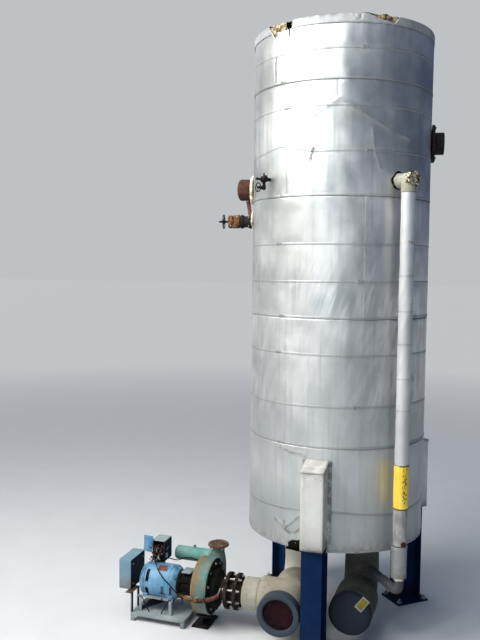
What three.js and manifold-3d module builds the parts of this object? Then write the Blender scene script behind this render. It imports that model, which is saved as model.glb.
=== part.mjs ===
// Vertical insulated refrigerant receiver on three beam legs, with two suction headers and one pump set.
// Millimetres, +Z up. Built round the vessel's axis with the floor at z = 0, and moved at the end so that
// the origin is the middle of the underside of the whole object. -Y is the side of the near leg.
import * as THREE from "three";
import { mergeVertices } from "three/addons/utils/BufferGeometryUtils.js";
import Module from "manifold-3d";

const wasm = await Module();
wasm.setup();

// Fineness: sides of the big rings, of pipes and of small round pieces.
const BIG_SIDES = 36;
const PIPE_SIDES = 20;
const SMALL_SIDES = 12;
// Gap kept between pieces that rest on each other.
const SEAT = 0.3;

// Vessel: a 48 inch shell with 2:1 heads.
const SHELL_RADIUS = 609.5;
const SHELL_WALL = 10;
const HEAD_DEPTH = 305;
const BOTTOM_TANGENT = 1135;
const TOP_TANGENT = 4195;

// Aluminium jacket round 3 inches of foam.
const JACKET_RADIUS = 686;
const SHEET = 3;
const JACKET_BOTTOM = 750;
const JACKET_TOP = 4560;
const BAND_WIDTH = 17;
const BAND_PROUD = 2.5;
// Radius at which a piece clears the strap bands.
const BAND_FACE = JACKET_RADIUS + BAND_PROUD + SEAT;
// Heights above the jacket's bottom edge: seams between courses, and strap bands inside each course.
const COURSE_SEAMS = [0, 760, 1692, 2562, 3366, 3804];
const COURSE_BANDS = [[302], [1057, 1429], [1954, 2221], [2866, 3183], [3583]];
const ROOF_RISE = 85;
const ROOF_SKIRT = 65;

// Legs: wide-flange beams on foot plates.
const LEG_DIRECTIONS = { near: 0, right: 132, left: -132 };
const LEG_WIDTH = 152;
const LEG_DEPTH = 203;
const LEG_FLANGE = 12;
const LEG_WEB = 8;
const LEG_TOP = 1345;
const FOOT_LENGTH = 300;
const FOOT_WIDTH = 250;
const FOOT_THICKNESS = 16;
const COVER_LEFT = -80;
const COVER_RIGHT = 88;
const COVER_REACH = 860;
const COVER_BOTTOM = 803;
const COVER_FRONT_TOP = 1360;
const COVER_BACK_TOP = 1420;

// Nozzles, by direction from the near leg (positive towards +X) and height.
const UPPER_NOZZLE = { direction: -80, height: 3420, radius: 84, reach: 822 };
const RIGHT_NOZZLE = { direction: 97, height: 3762, radius: 84, reach: 779 };
const RIGHT_RING = { radius: 143, thickness: 20 };
const SIDE_VALVE = { direction: -80, height: 3168, radius: 30 };
const GAUGE_VALVE = { direction: -38, height: 3447, radius: 13 };
const LEVEL_PIPE = { direction: 47.6, height: 3425, radius: 57, axis: 790, reach: 852 };

// Suction headers, left and right of the near leg, and the pump line on the left one.
const HEADER_OFFSET = 245;
const HEADER_Y = -80;
const HEADER_HEIGHT = 280;
const HEADER_RADIUS = 160;
const DROP_RADIUS = 135;
const ELBOW_BEND = 150;
const LEFT_HEADER_END = -725;
const LEFT_SLEEVE_END = -812;
const RIGHT_HEADER_END = -560;
const PUMP_Y = -520;
const PUMP_HEIGHT = 288;
const BRANCH_RADIUS = 124;
const FLANGE_RADIUS = 140;
const NECK_RADIUS = 84;

// Materials.
function paint(color, roughness, metalness = 0) {
  return () => new THREE.MeshStandardMaterial({ color, roughness, metalness });
}
const aluminium = paint(0xc9cdd0, 0.38, 0.9);
const weatheredSheet = paint(0xb4b9bc, 0.55, 0.7);
const foam = paint(0xd8c08c, 0.95);
const steel = paint(0x4a4643, 0.7, 0.4);
const rust = paint(0x6e4335, 0.9);
const primer = paint(0x7d4141, 0.8);
const ochre = paint(0x96602d, 0.85);
const legBlue = paint(0x14326e, 0.5);
const whiteCover = paint(0xe0e0da, 0.6);
const mastic = paint(0xcdc3a0, 0.85);
const whiteWrap = paint(0xdcd6c4, 0.8);
const darkRed = paint(0x4a1a1e, 0.7);
const motorBlue = paint(0x78aadc, 0.5);
const teal = paint(0x6a9c96, 0.6);
const baseGrey = paint(0x82878f, 0.6);
const black = paint(0x26262a, 0.7);

const tank = new THREE.Group();

function addPiece(name, geometry, material, parent = tank) {
  const mesh = new THREE.Mesh(geometry, material());
  mesh.name = name;
  parent.add(mesh);
  return mesh;
}

// Closed geometry to a solid, and back.
function solidOf(geometry) {
  const bare = geometry.index ? geometry.clone() : mergeVertices(geometry);
  bare.deleteAttribute("normal");
  bare.deleteAttribute("uv");
  const merged = mergeVertices(bare, 1e-3);
  const corners = merged.index.array;
  const kept = [];
  for (let i = 0; i < corners.length; i += 3) {
    const [a, b, c] = [corners[i], corners[i + 1], corners[i + 2]];
    if (a !== b && b !== c && c !== a) kept.push(a, b, c);
  }
  return new wasm.Manifold(
    new wasm.Mesh({
      numProp: 3,
      vertProperties: merged.attributes.position.array,
      triVerts: Uint32Array.from(kept),
    }),
  );
}

function geometryOf(solid) {
  const mesh = solid.getMesh();
  const made = new THREE.BufferGeometry();
  made.setAttribute("position", new THREE.BufferAttribute(new Float32Array(mesh.vertProperties), 3));
  made.setIndex(new THREE.BufferAttribute(new Uint32Array(mesh.triVerts), 1));
  made.computeVertexNormals();
  return made;
}

function joined(first, ...others) {
  return geometryOf(others.reduce((all, other) => all.add(solidOf(other)), solidOf(first)));
}

function withCuts(first, ...tools) {
  return geometryOf(tools.reduce((left, tool) => left.subtract(solidOf(tool)), solidOf(first)));
}

// Basic shapes, all closed.
function boxBetween(low, high) {
  const size = high.map((value, i) => value - low[i]);
  const made = new THREE.BoxGeometry(...size);
  return made.translate(low[0] + size[0] / 2, low[1] + size[1] / 2, low[2] + size[2] / 2);
}

// A profile of [radius, height] points turned about the Z axis; points run up the outside.
function turned(points, sides) {
  const profile = points.map(([radius, height]) => new THREE.Vector2(radius, height));
  return new THREE.LatheGeometry(profile, sides).rotateX(Math.PI / 2);
}

// A round bar along Z from one height to another.
function bar(radius, from, to, sides = PIPE_SIDES) {
  const points = [[0, from], [radius, from], [radius, to], [0, to]];
  return turned(points, sides);
}

// The same shapes laid along X or along -Y, the outward direction of a radial group.
function alongX(geometry) {
  return geometry.rotateY(Math.PI / 2);
}

function outward(geometry) {
  return geometry.rotateX(Math.PI / 2);
}

function tube(radii, from, to, sides) {
  const [outer, inner] = radii;
  const points = [[inner, from], [outer, from], [outer, to], [inner, to], [inner, from]];
  return turned(points, sides);
}

// A round pipe swept along a path.
function pipeAlong(path, radius, steps, sides = PIPE_SIDES) {
  const section = new THREE.Shape().absarc(0, 0, radius, 0, Math.PI * 2, false);
  return new THREE.ExtrudeGeometry(section, {
    steps,
    curveSegments: sides / 2,
    extrudePath: path,
  });
}

// A group turned so that its -Y points in a direction given in degrees from the near leg.
function radialGroup(direction) {
  const group = new THREE.Group();
  group.rotation.z = THREE.MathUtils.degToRad(direction);
  tank.add(group);
  return group;
}

function turnedAbout(geometry, direction) {
  return geometry.rotateZ(THREE.MathUtils.degToRad(direction));
}

// A radial bar in the tank's own frame, used to cut holes for nozzles.
function radialBar(nozzle, radius, from, to) {
  const made = outward(bar(radius, from, to)).translate(0, 0, nozzle.height);
  return turnedAbout(made, nozzle.direction);
}

// Half an ellipse from the rim to the crown, as profile points.
function headCurve(radius, depth, count = 5) {
  const points = [];
  for (let i = 0; i <= count; i += 1) {
    const angle = (i / count) * (Math.PI / 2);
    points.push([radius * Math.cos(angle), depth * Math.sin(angle)]);
  }
  points[count][0] = 0;
  return points;
}

const NOZZLES = [
  [UPPER_NOZZLE, UPPER_NOZZLE.radius],
  [RIGHT_NOZZLE, RIGHT_NOZZLE.radius],
  [SIDE_VALVE, SIDE_VALVE.radius],
  [GAUGE_VALVE, GAUGE_VALVE.radius],
  [LEVEL_PIPE, LEVEL_PIPE.radius],
];

function nozzleHoles(bottom, top, clearance) {
  return NOZZLES.filter(([nozzle]) => nozzle.height > bottom && nozzle.height < top).map(
    ([nozzle, radius]) => radialBar(nozzle, radius + clearance, SHELL_RADIUS - 20, JACKET_RADIUS + 20),
  );
}

function legNotches(clearance) {
  const half = LEG_WIDTH / 2 + clearance;
  return Object.values(LEG_DIRECTIONS).map((direction) =>
    turnedAbout(
      boxBetween(
        [-half, -SHELL_RADIUS - LEG_DEPTH - 20, 0],
        [half, -SHELL_RADIUS + 20, LEG_TOP + clearance],
      ),
      direction,
    ),
  );
}

// Pressure vessel: shell and two dished heads.
function addVessel() {
  const inner = SHELL_RADIUS - SHELL_WALL;
  addPiece("vessel_shell", tube([SHELL_RADIUS, inner], BOTTOM_TANGENT, TOP_TANGENT, BIG_SIDES), steel);
  const outside = headCurve(SHELL_RADIUS, HEAD_DEPTH);
  const inside = headCurve(inner, HEAD_DEPTH - SHELL_WALL).reverse();
  const head = turned([...inside, ...outside], BIG_SIDES);
  const top = addPiece("top_head", head, steel);
  top.position.z = TOP_TANGENT + SEAT;
  const bottom = addPiece("bottom_head", head.clone(), steel);
  bottom.rotation.x = Math.PI;
  bottom.position.z = BOTTOM_TANGENT - SEAT;
}

// Foam between the vessel and its jacket, in three pieces.
function addInsulation() {
  const outer = JACKET_RADIUS - SHEET - SEAT;
  const inner = SHELL_RADIUS + SEAT;
  const low = BOTTOM_TANGENT + SEAT;
  const high = TOP_TANGENT - SEAT;
  const side = tube([outer, inner], low, high, BIG_SIDES);
  addPiece(
    "side_insulation",
    withCuts(side, ...legNotches(SEAT), ...nozzleHoles(low, high, SEAT)),
    foam,
  );
  const crown = headCurve(inner, HEAD_DEPTH + 2 * SEAT).reverse();
  const topEdge = JACKET_TOP - SHEET - SEAT;
  const cap = [
    ...crown.map(([radius, height]) => [radius, height + TOP_TANGENT]),
    [outer, TOP_TANGENT],
    [outer, topEdge],
    [0, topEdge + ROOF_RISE * (outer / JACKET_RADIUS)],
  ];
  addPiece("top_insulation", turned(cap, BIG_SIDES), foam);
  const bowl = [
    [0, JACKET_BOTTOM + SHEET + SEAT],
    [outer, JACKET_BOTTOM + SHEET + SEAT],
    [outer, BOTTOM_TANGENT],
    ...crown.map(([radius, height]) => [radius, BOTTOM_TANGENT - height]).reverse(),
  ];
  addPiece("bottom_insulation", withCuts(turned(bowl, BIG_SIDES), ...legNotches(SEAT)), foam);
}

// Jacket: courses with strap bands, a low conical roof with a turned-down skirt, and a flat underside.
function addJacket() {
  const inner = JACKET_RADIUS - SHEET;
  const raised = JACKET_RADIUS + BAND_PROUD;
  COURSE_BANDS.forEach((bands, index) => {
    const bottom = JACKET_BOTTOM + COURSE_SEAMS[index] + SEAT;
    const top = JACKET_BOTTOM + COURSE_SEAMS[index + 1];
    const profile = [
      [inner, bottom],
      [raised, bottom],
      [raised, bottom + BAND_WIDTH],
      [JACKET_RADIUS, bottom + BAND_WIDTH],
    ];
    for (const band of bands) {
      const low = JACKET_BOTTOM + band - BAND_WIDTH / 2;
      const high = low + BAND_WIDTH;
      profile.push([JACKET_RADIUS, low], [raised, low], [raised, high], [JACKET_RADIUS, high]);
    }
    profile.push([JACKET_RADIUS, top], [inner, top], [inner, bottom]);
    const ring = turned(profile, BIG_SIDES);
    const tools = nozzleHoles(bottom, top, 2 * SEAT);
    if (bottom < LEG_TOP) tools.push(...legNotches(2 * SEAT));
    addPiece(`jacket_course_${index + 1}`, withCuts(ring, ...tools), aluminium);
  });
  const lip = BAND_FACE + SHEET;
  const roof = [
    [0, JACKET_TOP + ROOF_RISE - SHEET],
    [BAND_FACE, JACKET_TOP - SHEET],
    [BAND_FACE, JACKET_TOP - ROOF_SKIRT],
    [lip, JACKET_TOP - ROOF_SKIRT],
    [lip, JACKET_TOP],
    [0, JACKET_TOP + ROOF_RISE],
  ];
  addPiece("roof_sheet", turned(roof, BIG_SIDES), weatheredSheet);
  const underside = bar(inner - SEAT, JACKET_BOTTOM, JACKET_BOTTOM + SHEET, BIG_SIDES);
  addPiece("underside_sheet", withCuts(underside, ...legNotches(SEAT)), weatheredSheet);
}

// Legs: beam, foot plate and the boxed cover where the beam enters the jacket.
function addLeg(side, direction) {
  const leg = radialGroup(direction);
  const face = -SHELL_RADIUS - SEAT;
  const half = LEG_WIDTH / 2;
  const web = LEG_WEB / 2;
  const section = new THREE.Shape([
    new THREE.Vector2(-half, face),
    new THREE.Vector2(-half, face - LEG_FLANGE),
    new THREE.Vector2(-web, face - LEG_FLANGE),
    new THREE.Vector2(-web, face - LEG_DEPTH + LEG_FLANGE),
    new THREE.Vector2(-half, face - LEG_DEPTH + LEG_FLANGE),
    new THREE.Vector2(-half, face - LEG_DEPTH),
    new THREE.Vector2(half, face - LEG_DEPTH),
    new THREE.Vector2(half, face - LEG_DEPTH + LEG_FLANGE),
    new THREE.Vector2(web, face - LEG_DEPTH + LEG_FLANGE),
    new THREE.Vector2(web, face - LEG_FLANGE),
    new THREE.Vector2(half, face - LEG_FLANGE),
    new THREE.Vector2(half, face),
  ]);
  const height = LEG_TOP - FOOT_THICKNESS - SEAT;
  const beam = new THREE.ExtrudeGeometry(section, { depth: height, bevelEnabled: false });
  addPiece(`${side}_leg`, beam, legBlue, leg).position.z = FOOT_THICKNESS + SEAT;
  const middle = face - LEG_DEPTH / 2;
  const plate = boxBetween(
    [-FOOT_WIDTH / 2, middle - FOOT_LENGTH / 2, 0],
    [FOOT_WIDTH / 2, middle + FOOT_LENGTH / 2, FOOT_THICKNESS],
  );
  addPiece(`${side}_foot_plate`, plate, legBlue, leg);
  addPiece(`${side}_leg_cover`, legCover(direction), whiteCover, leg);
}

function legCover(direction) {
  const back = JACKET_RADIUS - 30;
  const slope = (COVER_BACK_TOP - COVER_FRONT_TOP) / (COVER_REACH - JACKET_RADIUS);
  const hood = (left, right, reach, bottom, drop) => {
    const side = new THREE.Shape([
      new THREE.Vector2(back, bottom),
      new THREE.Vector2(reach, bottom),
      new THREE.Vector2(reach, COVER_FRONT_TOP - drop),
      new THREE.Vector2(back, COVER_FRONT_TOP - drop + slope * (reach - back)),
    ]);
    const made = new THREE.ExtrudeGeometry(side, { depth: right - left, bevelEnabled: false });
    // The outline's own plane (reach, height) becomes (-Y, Z), and its depth runs along X.
    return made.rotateX(Math.PI / 2).rotateZ(-Math.PI / 2).translate(right, 0, 0);
  };
  const outer = hood(COVER_LEFT, COVER_RIGHT, COVER_REACH, COVER_BOTTOM, 0);
  const inner = hood(
    COVER_LEFT + SHEET,
    COVER_RIGHT - SHEET,
    COVER_REACH - SHEET,
    COVER_BOTTOM - 10,
    SHEET,
  );
  const jacket = bar(BAND_FACE, COVER_BOTTOM - 50, COVER_BACK_TOP + 50, BIG_SIDES);
  return withCuts(outer, inner, turnedAbout(jacket, -direction));
}

// A pipe stub that stands on the vessel's wall and ends blank.
function stub(nozzle) {
  const pipe = outward(bar(nozzle.radius, SHELL_RADIUS - 30, nozzle.reach)).translate(0, 0, nozzle.height);
  return withCuts(turnedAbout(pipe, nozzle.direction), vesselWall(nozzle.height));
}

// The vessel's outside round a height, which a nozzle's root is fitted to.
function vesselWall(height) {
  return bar(SHELL_RADIUS + SEAT, height - 200, height + 200, BIG_SIDES);
}

function addNozzles() {
  addPiece("upper_nozzle", stub(UPPER_NOZZLE), rust);
  const collar = outward(
    tube([112, UPPER_NOZZLE.radius + SEAT], BAND_FACE, JACKET_RADIUS + 26, PIPE_SIDES),
  );
  const upper = radialGroup(UPPER_NOZZLE.direction);
  addPiece("upper_nozzle_collar", collar, foam, upper).position.z = UPPER_NOZZLE.height;
  const right = joined(
    stub(RIGHT_NOZZLE),
    radialBar(RIGHT_NOZZLE, RIGHT_RING.radius, BAND_FACE, BAND_FACE + RIGHT_RING.thickness),
  );
  addPiece("right_nozzle", right, black);
}

// Valve stems turn in their glands with this play all round.
const STEM_RADIUS = 9;
const GLAND_PLAY = 0.6;
const GLAND_DEPTH = 20;
const VALVE_BONNET_END = 896;

// Stop valve below the upper nozzle: body, bonnet, handwheel, and the small pipe that links it up.
function addSideValve() {
  const group = radialGroup(SIDE_VALVE.direction);
  group.position.z = SIDE_VALVE.height;
  const body = outward(
    turned(
      [
        [0, SHELL_RADIUS + 6],
        [SIDE_VALVE.radius, SHELL_RADIUS + 6],
        [SIDE_VALVE.radius, 700],
        [55, 700],
        [55, 722],
        [40, 734],
        [40, 760],
        [55, 772],
        [55, 790],
        [0, 790],
      ],
      PIPE_SIDES,
    ),
  );
  addPiece("side_valve_body", body, black, group);
  const bonnet = boxBetween([-52, -VALVE_BONNET_END, -52], [52, -790 - SEAT, 52]);
  const glandFloor = VALVE_BONNET_END - GLAND_DEPTH;
  const gland = outward(bar(STEM_RADIUS + GLAND_PLAY, glandFloor, VALVE_BONNET_END + 1, SMALL_SIDES));
  addPiece("side_valve_bonnet", withCuts(bonnet, gland), ochre, group);
  const wheel = joined(
    outward(bar(STEM_RADIUS, glandFloor + 1, 972, SMALL_SIDES)),
    outward(bar(16, 922, 940, SMALL_SIDES)),
    outward(tube([59, 48], 925, 937, PIPE_SIDES)),
    boxBetween([-50, -934, -6], [50, -928, 6]),
    boxBetween([-6, -934, -50], [6, -928, 50]),
  );
  addPiece("side_valve_handwheel", wheel, steel, group);
  const link = new THREE.LineCurve3(
    new THREE.Vector3(0, -735, UPPER_NOZZLE.height - SIDE_VALVE.height - UPPER_NOZZLE.radius - 3),
    new THREE.Vector3(0, -717, 56.4),
  );
  addPiece("link_pipe", pipeAlong(link, 17, 1, SMALL_SIDES), primer, group);
}

// Small gauge valve: body on a stem, plug in line with it, and a ring-shaped wheel lower down.
const GAUGE_STEM_RADIUS = 5;
const GAUGE_REACH = 742;
const GAUGE_WHEEL_DROP = 62;

function addGaugeValve() {
  const group = radialGroup(GAUGE_VALVE.direction);
  group.position.z = GAUGE_VALVE.height;
  const lowered = (solid) => solid.translate(0, 0, -GAUGE_WHEEL_DROP);
  const plain = joined(
    outward(bar(GAUGE_VALVE.radius, SHELL_RADIUS + 3, 735, SMALL_SIDES)),
    outward(bar(22, 720, 765, SMALL_SIDES)),
    outward(bar(9, 760, 812, SMALL_SIDES)),
    bar(16, -78, 22, SMALL_SIDES).translate(0, -GAUGE_REACH, 0),
    bar(7, 20, 46, SMALL_SIDES).translate(0, -GAUGE_REACH, 0),
    boxBetween([8, -757, 2], [32, -733, 26]),
    lowered(outward(bar(12, 750, 779, SMALL_SIDES))),
  );
  const gland = lowered(outward(bar(GAUGE_STEM_RADIUS + GLAND_PLAY, 763, 780, SMALL_SIDES)));
  addPiece("gauge_valve", withCuts(plain, gland), steel, group);
  const wheel = joined(
    outward(tube([36, 28], 789, 798, PIPE_SIDES)),
    outward(bar(GAUGE_STEM_RADIUS, 764, 803, SMALL_SIDES)),
    outward(bar(9, 787, 800, SMALL_SIDES)),
    boxBetween([-31, -797, -4], [31, -790, 4]),
  );
  addPiece("gauge_valve_wheel", lowered(wheel), steel, group);
}

// Insulated liquid-level pipe down the right front.
const LEVEL_JOINT_TOP = 3335;
const LEVEL_JOINT_LOW = 815;
const LEVEL_FOOT = 560;
function addLevelPipe() {
  const direction = LEVEL_PIPE.direction;
  const top = joined(
    outward(bar(LEVEL_PIPE.radius, SHELL_RADIUS - 20, LEVEL_PIPE.reach)).translate(0, 0, LEVEL_PIPE.height),
    bar(LEVEL_PIPE.radius, LEVEL_JOINT_TOP + SEAT, LEVEL_PIPE.height).translate(0, -LEVEL_PIPE.axis, 0),
  );
  const fitted = withCuts(turnedAbout(top, direction), vesselWall(LEVEL_PIPE.height));
  addPiece("level_pipe_elbow", fitted, mastic);
  const group = radialGroup(direction);
  const axis = (geometry) => geometry.translate(0, -LEVEL_PIPE.axis, 0);
  addPiece("level_pipe_jacket", axis(bar(52, LEVEL_JOINT_LOW + SEAT, LEVEL_JOINT_TOP)), aluminium, group);
  const lower = turned(
    [
      [0, LEVEL_FOOT],
      [40, LEVEL_FOOT],
      [61, LEVEL_FOOT + 45],
      [61, LEVEL_JOINT_LOW],
      [0, LEVEL_JOINT_LOW],
    ],
    PIPE_SIDES,
  );
  addPiece("level_pipe_lower", axis(lower), weatheredSheet, group);
  const angle = THREE.MathUtils.degToRad(direction);
  const foot = new THREE.Vector3(LEVEL_PIPE.axis * Math.sin(angle), -LEVEL_PIPE.axis * Math.cos(angle), 0);
  const drop = new THREE.Vector3(HEADER_OFFSET, HEADER_Y, 0);
  const inward = drop.clone().sub(foot).normalize();
  const at = (distance, height) => foot.clone().addScaledVector(inward, distance).setZ(height);
  const run = foot.distanceTo(drop) - DROP_RADIUS - 1;
  const route = new THREE.CurvePath();
  route.add(new THREE.LineCurve3(at(0, LEVEL_FOOT - SEAT), at(0, 530)));
  route.add(new THREE.QuadraticBezierCurve3(at(0, 530), at(0, 470), at(60, 470)));
  route.add(new THREE.LineCurve3(at(60, 470), at(run, 470)));
  addPiece("level_pipe_inlet", pipeAlong(route, 36, 10, 12), mastic);
}

// Suction headers: an insulated drop-leg, its bend and a horizontal body on each side of the near leg.
function addHeader(side, x, end) {
  const bendTop = HEADER_HEIGHT + ELBOW_BEND;
  const route = new THREE.CurvePath();
  const top = JACKET_BOTTOM - SEAT;
  route.add(
    new THREE.LineCurve3(
      new THREE.Vector3(x, HEADER_Y, top),
      new THREE.Vector3(x, HEADER_Y, bendTop),
    ),
  );
  route.add(
    new THREE.QuadraticBezierCurve3(
      new THREE.Vector3(x, HEADER_Y, bendTop),
      new THREE.Vector3(x, HEADER_Y, HEADER_HEIGHT),
      new THREE.Vector3(x, HEADER_Y - ELBOW_BEND, HEADER_HEIGHT),
    ),
  );
  addPiece(`${side}_drop_leg`, pipeAlong(route, DROP_RADIUS, 10), mastic);
  const from = -(HEADER_Y - ELBOW_BEND - SEAT);
  const body = outward(bar(HEADER_RADIUS, from, -end)).translate(x, 0, HEADER_HEIGHT);
  return body;
}

const BRANCH_ROOT_END = -455;
const BRANCH_END = -585;
function addHeaders() {
  const left = addHeader("left", -HEADER_OFFSET, LEFT_HEADER_END);
  const root = alongX(bar(150, BRANCH_ROOT_END, -HEADER_OFFSET)).translate(0, PUMP_Y, PUMP_HEIGHT);
  addPiece("left_header", joined(left, root), mastic);
  const sleeve = outward(
    tube([HEADER_RADIUS, 115], -LEFT_HEADER_END + SEAT, -LEFT_SLEEVE_END, PIPE_SIDES),
  ).translate(-HEADER_OFFSET, 0, HEADER_HEIGHT);
  addPiece("left_header_sleeve", sleeve, weatheredSheet);
  const blind = outward(bar(114, -LEFT_HEADER_END + SEAT, -LEFT_SLEEVE_END - 22));
  addPiece("left_header_blind", blind.translate(-HEADER_OFFSET, 0, HEADER_HEIGHT), darkRed);
  addPiece("right_header", addHeader("right", HEADER_OFFSET, RIGHT_HEADER_END), mastic);
  const cap = turned(
    [
      [0, -RIGHT_HEADER_END + SEAT],
      [HEADER_RADIUS, -RIGHT_HEADER_END + SEAT],
      [HEADER_RADIUS, -RIGHT_HEADER_END + 40],
      [HEADER_RADIUS - 22, -RIGHT_HEADER_END + 66],
      [0, -RIGHT_HEADER_END + 72],
    ],
    PIPE_SIDES,
  );
  addPiece("right_header_cap", outward(cap).translate(HEADER_OFFSET, 0, HEADER_HEIGHT), weatheredSheet);
  const branch = alongX(bar(BRANCH_RADIUS, BRANCH_END, BRANCH_ROOT_END - SEAT));
  addPiece("suction_branch", branch.translate(0, PUMP_Y, PUMP_HEIGHT), whiteWrap);
}

// Pump set on the left header's branch.
const SUCTION_FACE = -697;
const VOLUTE_RADIUS = 218;
const VOLUTE_BACK = -965;
const VOLUTE_FRONT = -830;
// The scroll's middle lies above the shaft.
const SCROLL_LIFT = 16;
const HOUSING_END = -1125;
const MOTOR_END = -1445;
const MOTOR_RADIUS = 135;
const DISCHARGE = { x: -865, y: -360, top: 590, radius: 50, flange: 83, thickness: 20 };
const BASE_TOP = 66;
const GUARD_BOTTOM = 222;
const RAIL_TOP = 195;
const MOTOR_FEET = [-1400, -1190];
const RESERVOIR = { y: -282.5, height: 440.1, radius: 56 };
function addPump() {
  const onAxis = (geometry) => alongX(geometry).translate(0, PUMP_Y, PUMP_HEIGHT);
  const flange = turned(
    [
      [0, SUCTION_FACE + SEAT],
      [95, SUCTION_FACE + SEAT],
      [95, -650],
      [FLANGE_RADIUS, -650],
      [FLANGE_RADIUS, -623],
      [NECK_RADIUS, -623],
      [NECK_RADIUS, BRANCH_END - SEAT],
      [0, BRANCH_END - SEAT],
    ],
    PIPE_SIDES,
  );
  addPiece("branch_flange", onAxis(flange), rust);
  const casing = turned(
    [
      [0, -1000],
      [118, -1000],
      [150, VOLUTE_BACK - 8],
      [150, -800],
      [NECK_RADIUS, -770],
      [NECK_RADIUS, SUCTION_FACE - 27],
      [FLANGE_RADIUS, SUCTION_FACE - 27],
      [FLANGE_RADIUS, SUCTION_FACE],
      [0, SUCTION_FACE],
    ],
    PIPE_SIDES,
  );
  const scroll = turned(
    [
      [0, VOLUTE_BACK],
      [VOLUTE_RADIUS - 16, VOLUTE_BACK],
      [VOLUTE_RADIUS, VOLUTE_BACK + 16],
      [VOLUTE_RADIUS, VOLUTE_FRONT - 16],
      [VOLUTE_RADIUS - 16, VOLUTE_FRONT],
      [0, VOLUTE_FRONT],
    ],
    24,
  );
  const neckTop = DISCHARGE.top - DISCHARGE.thickness - SEAT;
  const neck = turned(
    [
      [0, PUMP_HEIGHT],
      [62, PUMP_HEIGHT],
      [62, PUMP_HEIGHT + 160],
      [DISCHARGE.radius, neckTop - 50],
      [DISCHARGE.radius, neckTop],
      [0, neckTop],
    ],
    16,
  ).translate(DISCHARGE.x, DISCHARGE.y, 0);
  const drainBoss = outward(bar(20, -PUMP_Y + 150, 744.3, SMALL_SIDES)).translate(-900, 0, 277);
  const lifted = onAxis(scroll).translate(0, 0, SCROLL_LIFT);
  addPiece("pump_volute", joined(onAxis(casing), lifted, neck, drainBoss), teal);
  const outlet = bar(DISCHARGE.flange, DISCHARGE.top - DISCHARGE.thickness, DISCHARGE.top);
  addPiece("discharge_flange", outlet.translate(DISCHARGE.x, DISCHARGE.y, 0), rust);
  addPiece("coupling_housing", onAxis(bar(98, HOUSING_END + SEAT, -1000 - SEAT)), black);
  const frame = turned(
    [
      [0, MOTOR_END],
      [105, MOTOR_END],
      [MOTOR_RADIUS, MOTOR_END + 45],
      [MOTOR_RADIUS, HOUSING_END - 30],
      [112, HOUSING_END],
      [0, HOUSING_END],
    ],
    PIPE_SIDES,
  );
  const motorFeet = MOTOR_FEET.map((x) =>
    boxBetween([x, PUMP_Y - 120, RAIL_TOP + SEAT], [x + 40, PUMP_Y + 120, PUMP_HEIGHT - 70]),
  );
  addPiece("pump_motor", joined(onAxis(frame), ...motorFeet), motorBlue);
  addPiece("junction_box", junctionBox(), motorBlue);
  const reservoir = alongX(bar(RESERVOIR.radius, -1267, -935, PIPE_SIDES));
  addPiece("oil_reservoir", reservoir.translate(0, RESERVOIR.y, RESERVOIR.height), teal);
  addPiece("drive_guard", boxBetween([-1612, -640, GUARD_BOTTOM], [-1503, -380, 462]), motorBlue);
}

// Junction box on the motor: open towards -Y, with its cover plate hanging from its left edge.
function junctionBox() {
  const bottom = PUMP_HEIGHT + MOTOR_RADIUS + SEAT;
  const saddle = withCuts(
    boxBetween([-1375, -505, 360], [-1305, -400, bottom + 3]),
    alongX(bar(MOTOR_RADIUS + SEAT, -1500, -1100)).translate(0, PUMP_Y, PUMP_HEIGHT),
  );
  const box = withCuts(
    boxBetween([-1391, -480, bottom], [-1282, -340, 589]),
    boxBetween([-1386, -490, bottom + 5], [-1287, -345, 584]),
  );
  const coverPlate = boxBetween([-1469, -484, 487], [-1387, -478, 624]);
  return joined(box, saddle, coverPlate);
}

// Sheet base of the pump set, the bracket under the volute and the drain pipe in front of it.
function addBase() {
  const plate = boxBetween([-1480, -695, 50], [-1022, -345, BASE_TOP]);
  const feet = [];
  for (const x of [-1480, -1057]) {
    for (const y of [-695, -380]) {
      feet.push(boxBetween([x, y, 0], [x + 35, y + 35, 55]));
    }
  }
  const rails = [];
  for (const y of [-646, -420]) {
    rails.push(boxBetween([-1440, y, RAIL_TOP - 15], [-1140, y + 26, RAIL_TOP]));
    rails.push(boxBetween([-1430, y, BASE_TOP - 4], [-1405, y + 26, RAIL_TOP - 4]));
    rails.push(boxBetween([-1175, y, BASE_TOP - 4], [-1150, y + 26, RAIL_TOP - 4]));
  }
  const posts = [-692, -578].map((y) =>
    boxBetween([-1480, y, BASE_TOP - 4], [-1474, y + 38, GUARD_BOTTOM - 4]),
  );
  const ledge = boxBetween([-1530, -692, GUARD_BOTTOM - 6], [-1474, -540, GUARD_BOTTOM - SEAT]);
  addPiece("pump_base", joined(plate, ...feet, ...rails, ...posts, ledge), baseGrey);
  const bracket = joined(
    boxBetween([-985, -640, 0], [-845, -400, 12]),
    boxBetween([-925, -600, 6], [-905, -440, 78]),
    boxBetween([-965, -600, 66], [-850, -440, 85.4]),
  );
  addPiece("volute_bracket", bracket, steel);
  const drain = new THREE.CatmullRomCurve3([
    new THREE.Vector3(-1050, -762, 297),
    new THREE.Vector3(-967, -762, 282),
    new THREE.Vector3(-885, -762, 275),
    new THREE.Vector3(-824, -757, 287),
    new THREE.Vector3(-780, -715, 291),
    new THREE.Vector3(-752, -672, 300),
  ]);
  addPiece("drain_pipe", pipeAlong(drain, 17, 10, 8), ochre);
}

addVessel();
addInsulation();
addJacket();
for (const [side, direction] of Object.entries(LEG_DIRECTIONS)) addLeg(side, direction);
addNozzles();
addSideValve();
addGaugeValve();
addLevelPipe();
addHeaders();
addPump();
addBase();

// The origin goes to the middle of the underside of the whole object.
tank.updateMatrixWorld(true);
const extent = new THREE.Box3().setFromObject(tank, true);
const middle = extent.getCenter(new THREE.Vector3());
tank.position.set(-middle.x, -middle.y, -extent.min.z);

export default tank;
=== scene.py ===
"""Dresses the insulated receiver tank over its CAD frame. Metres, in the frame's own axes."""
import math

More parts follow.
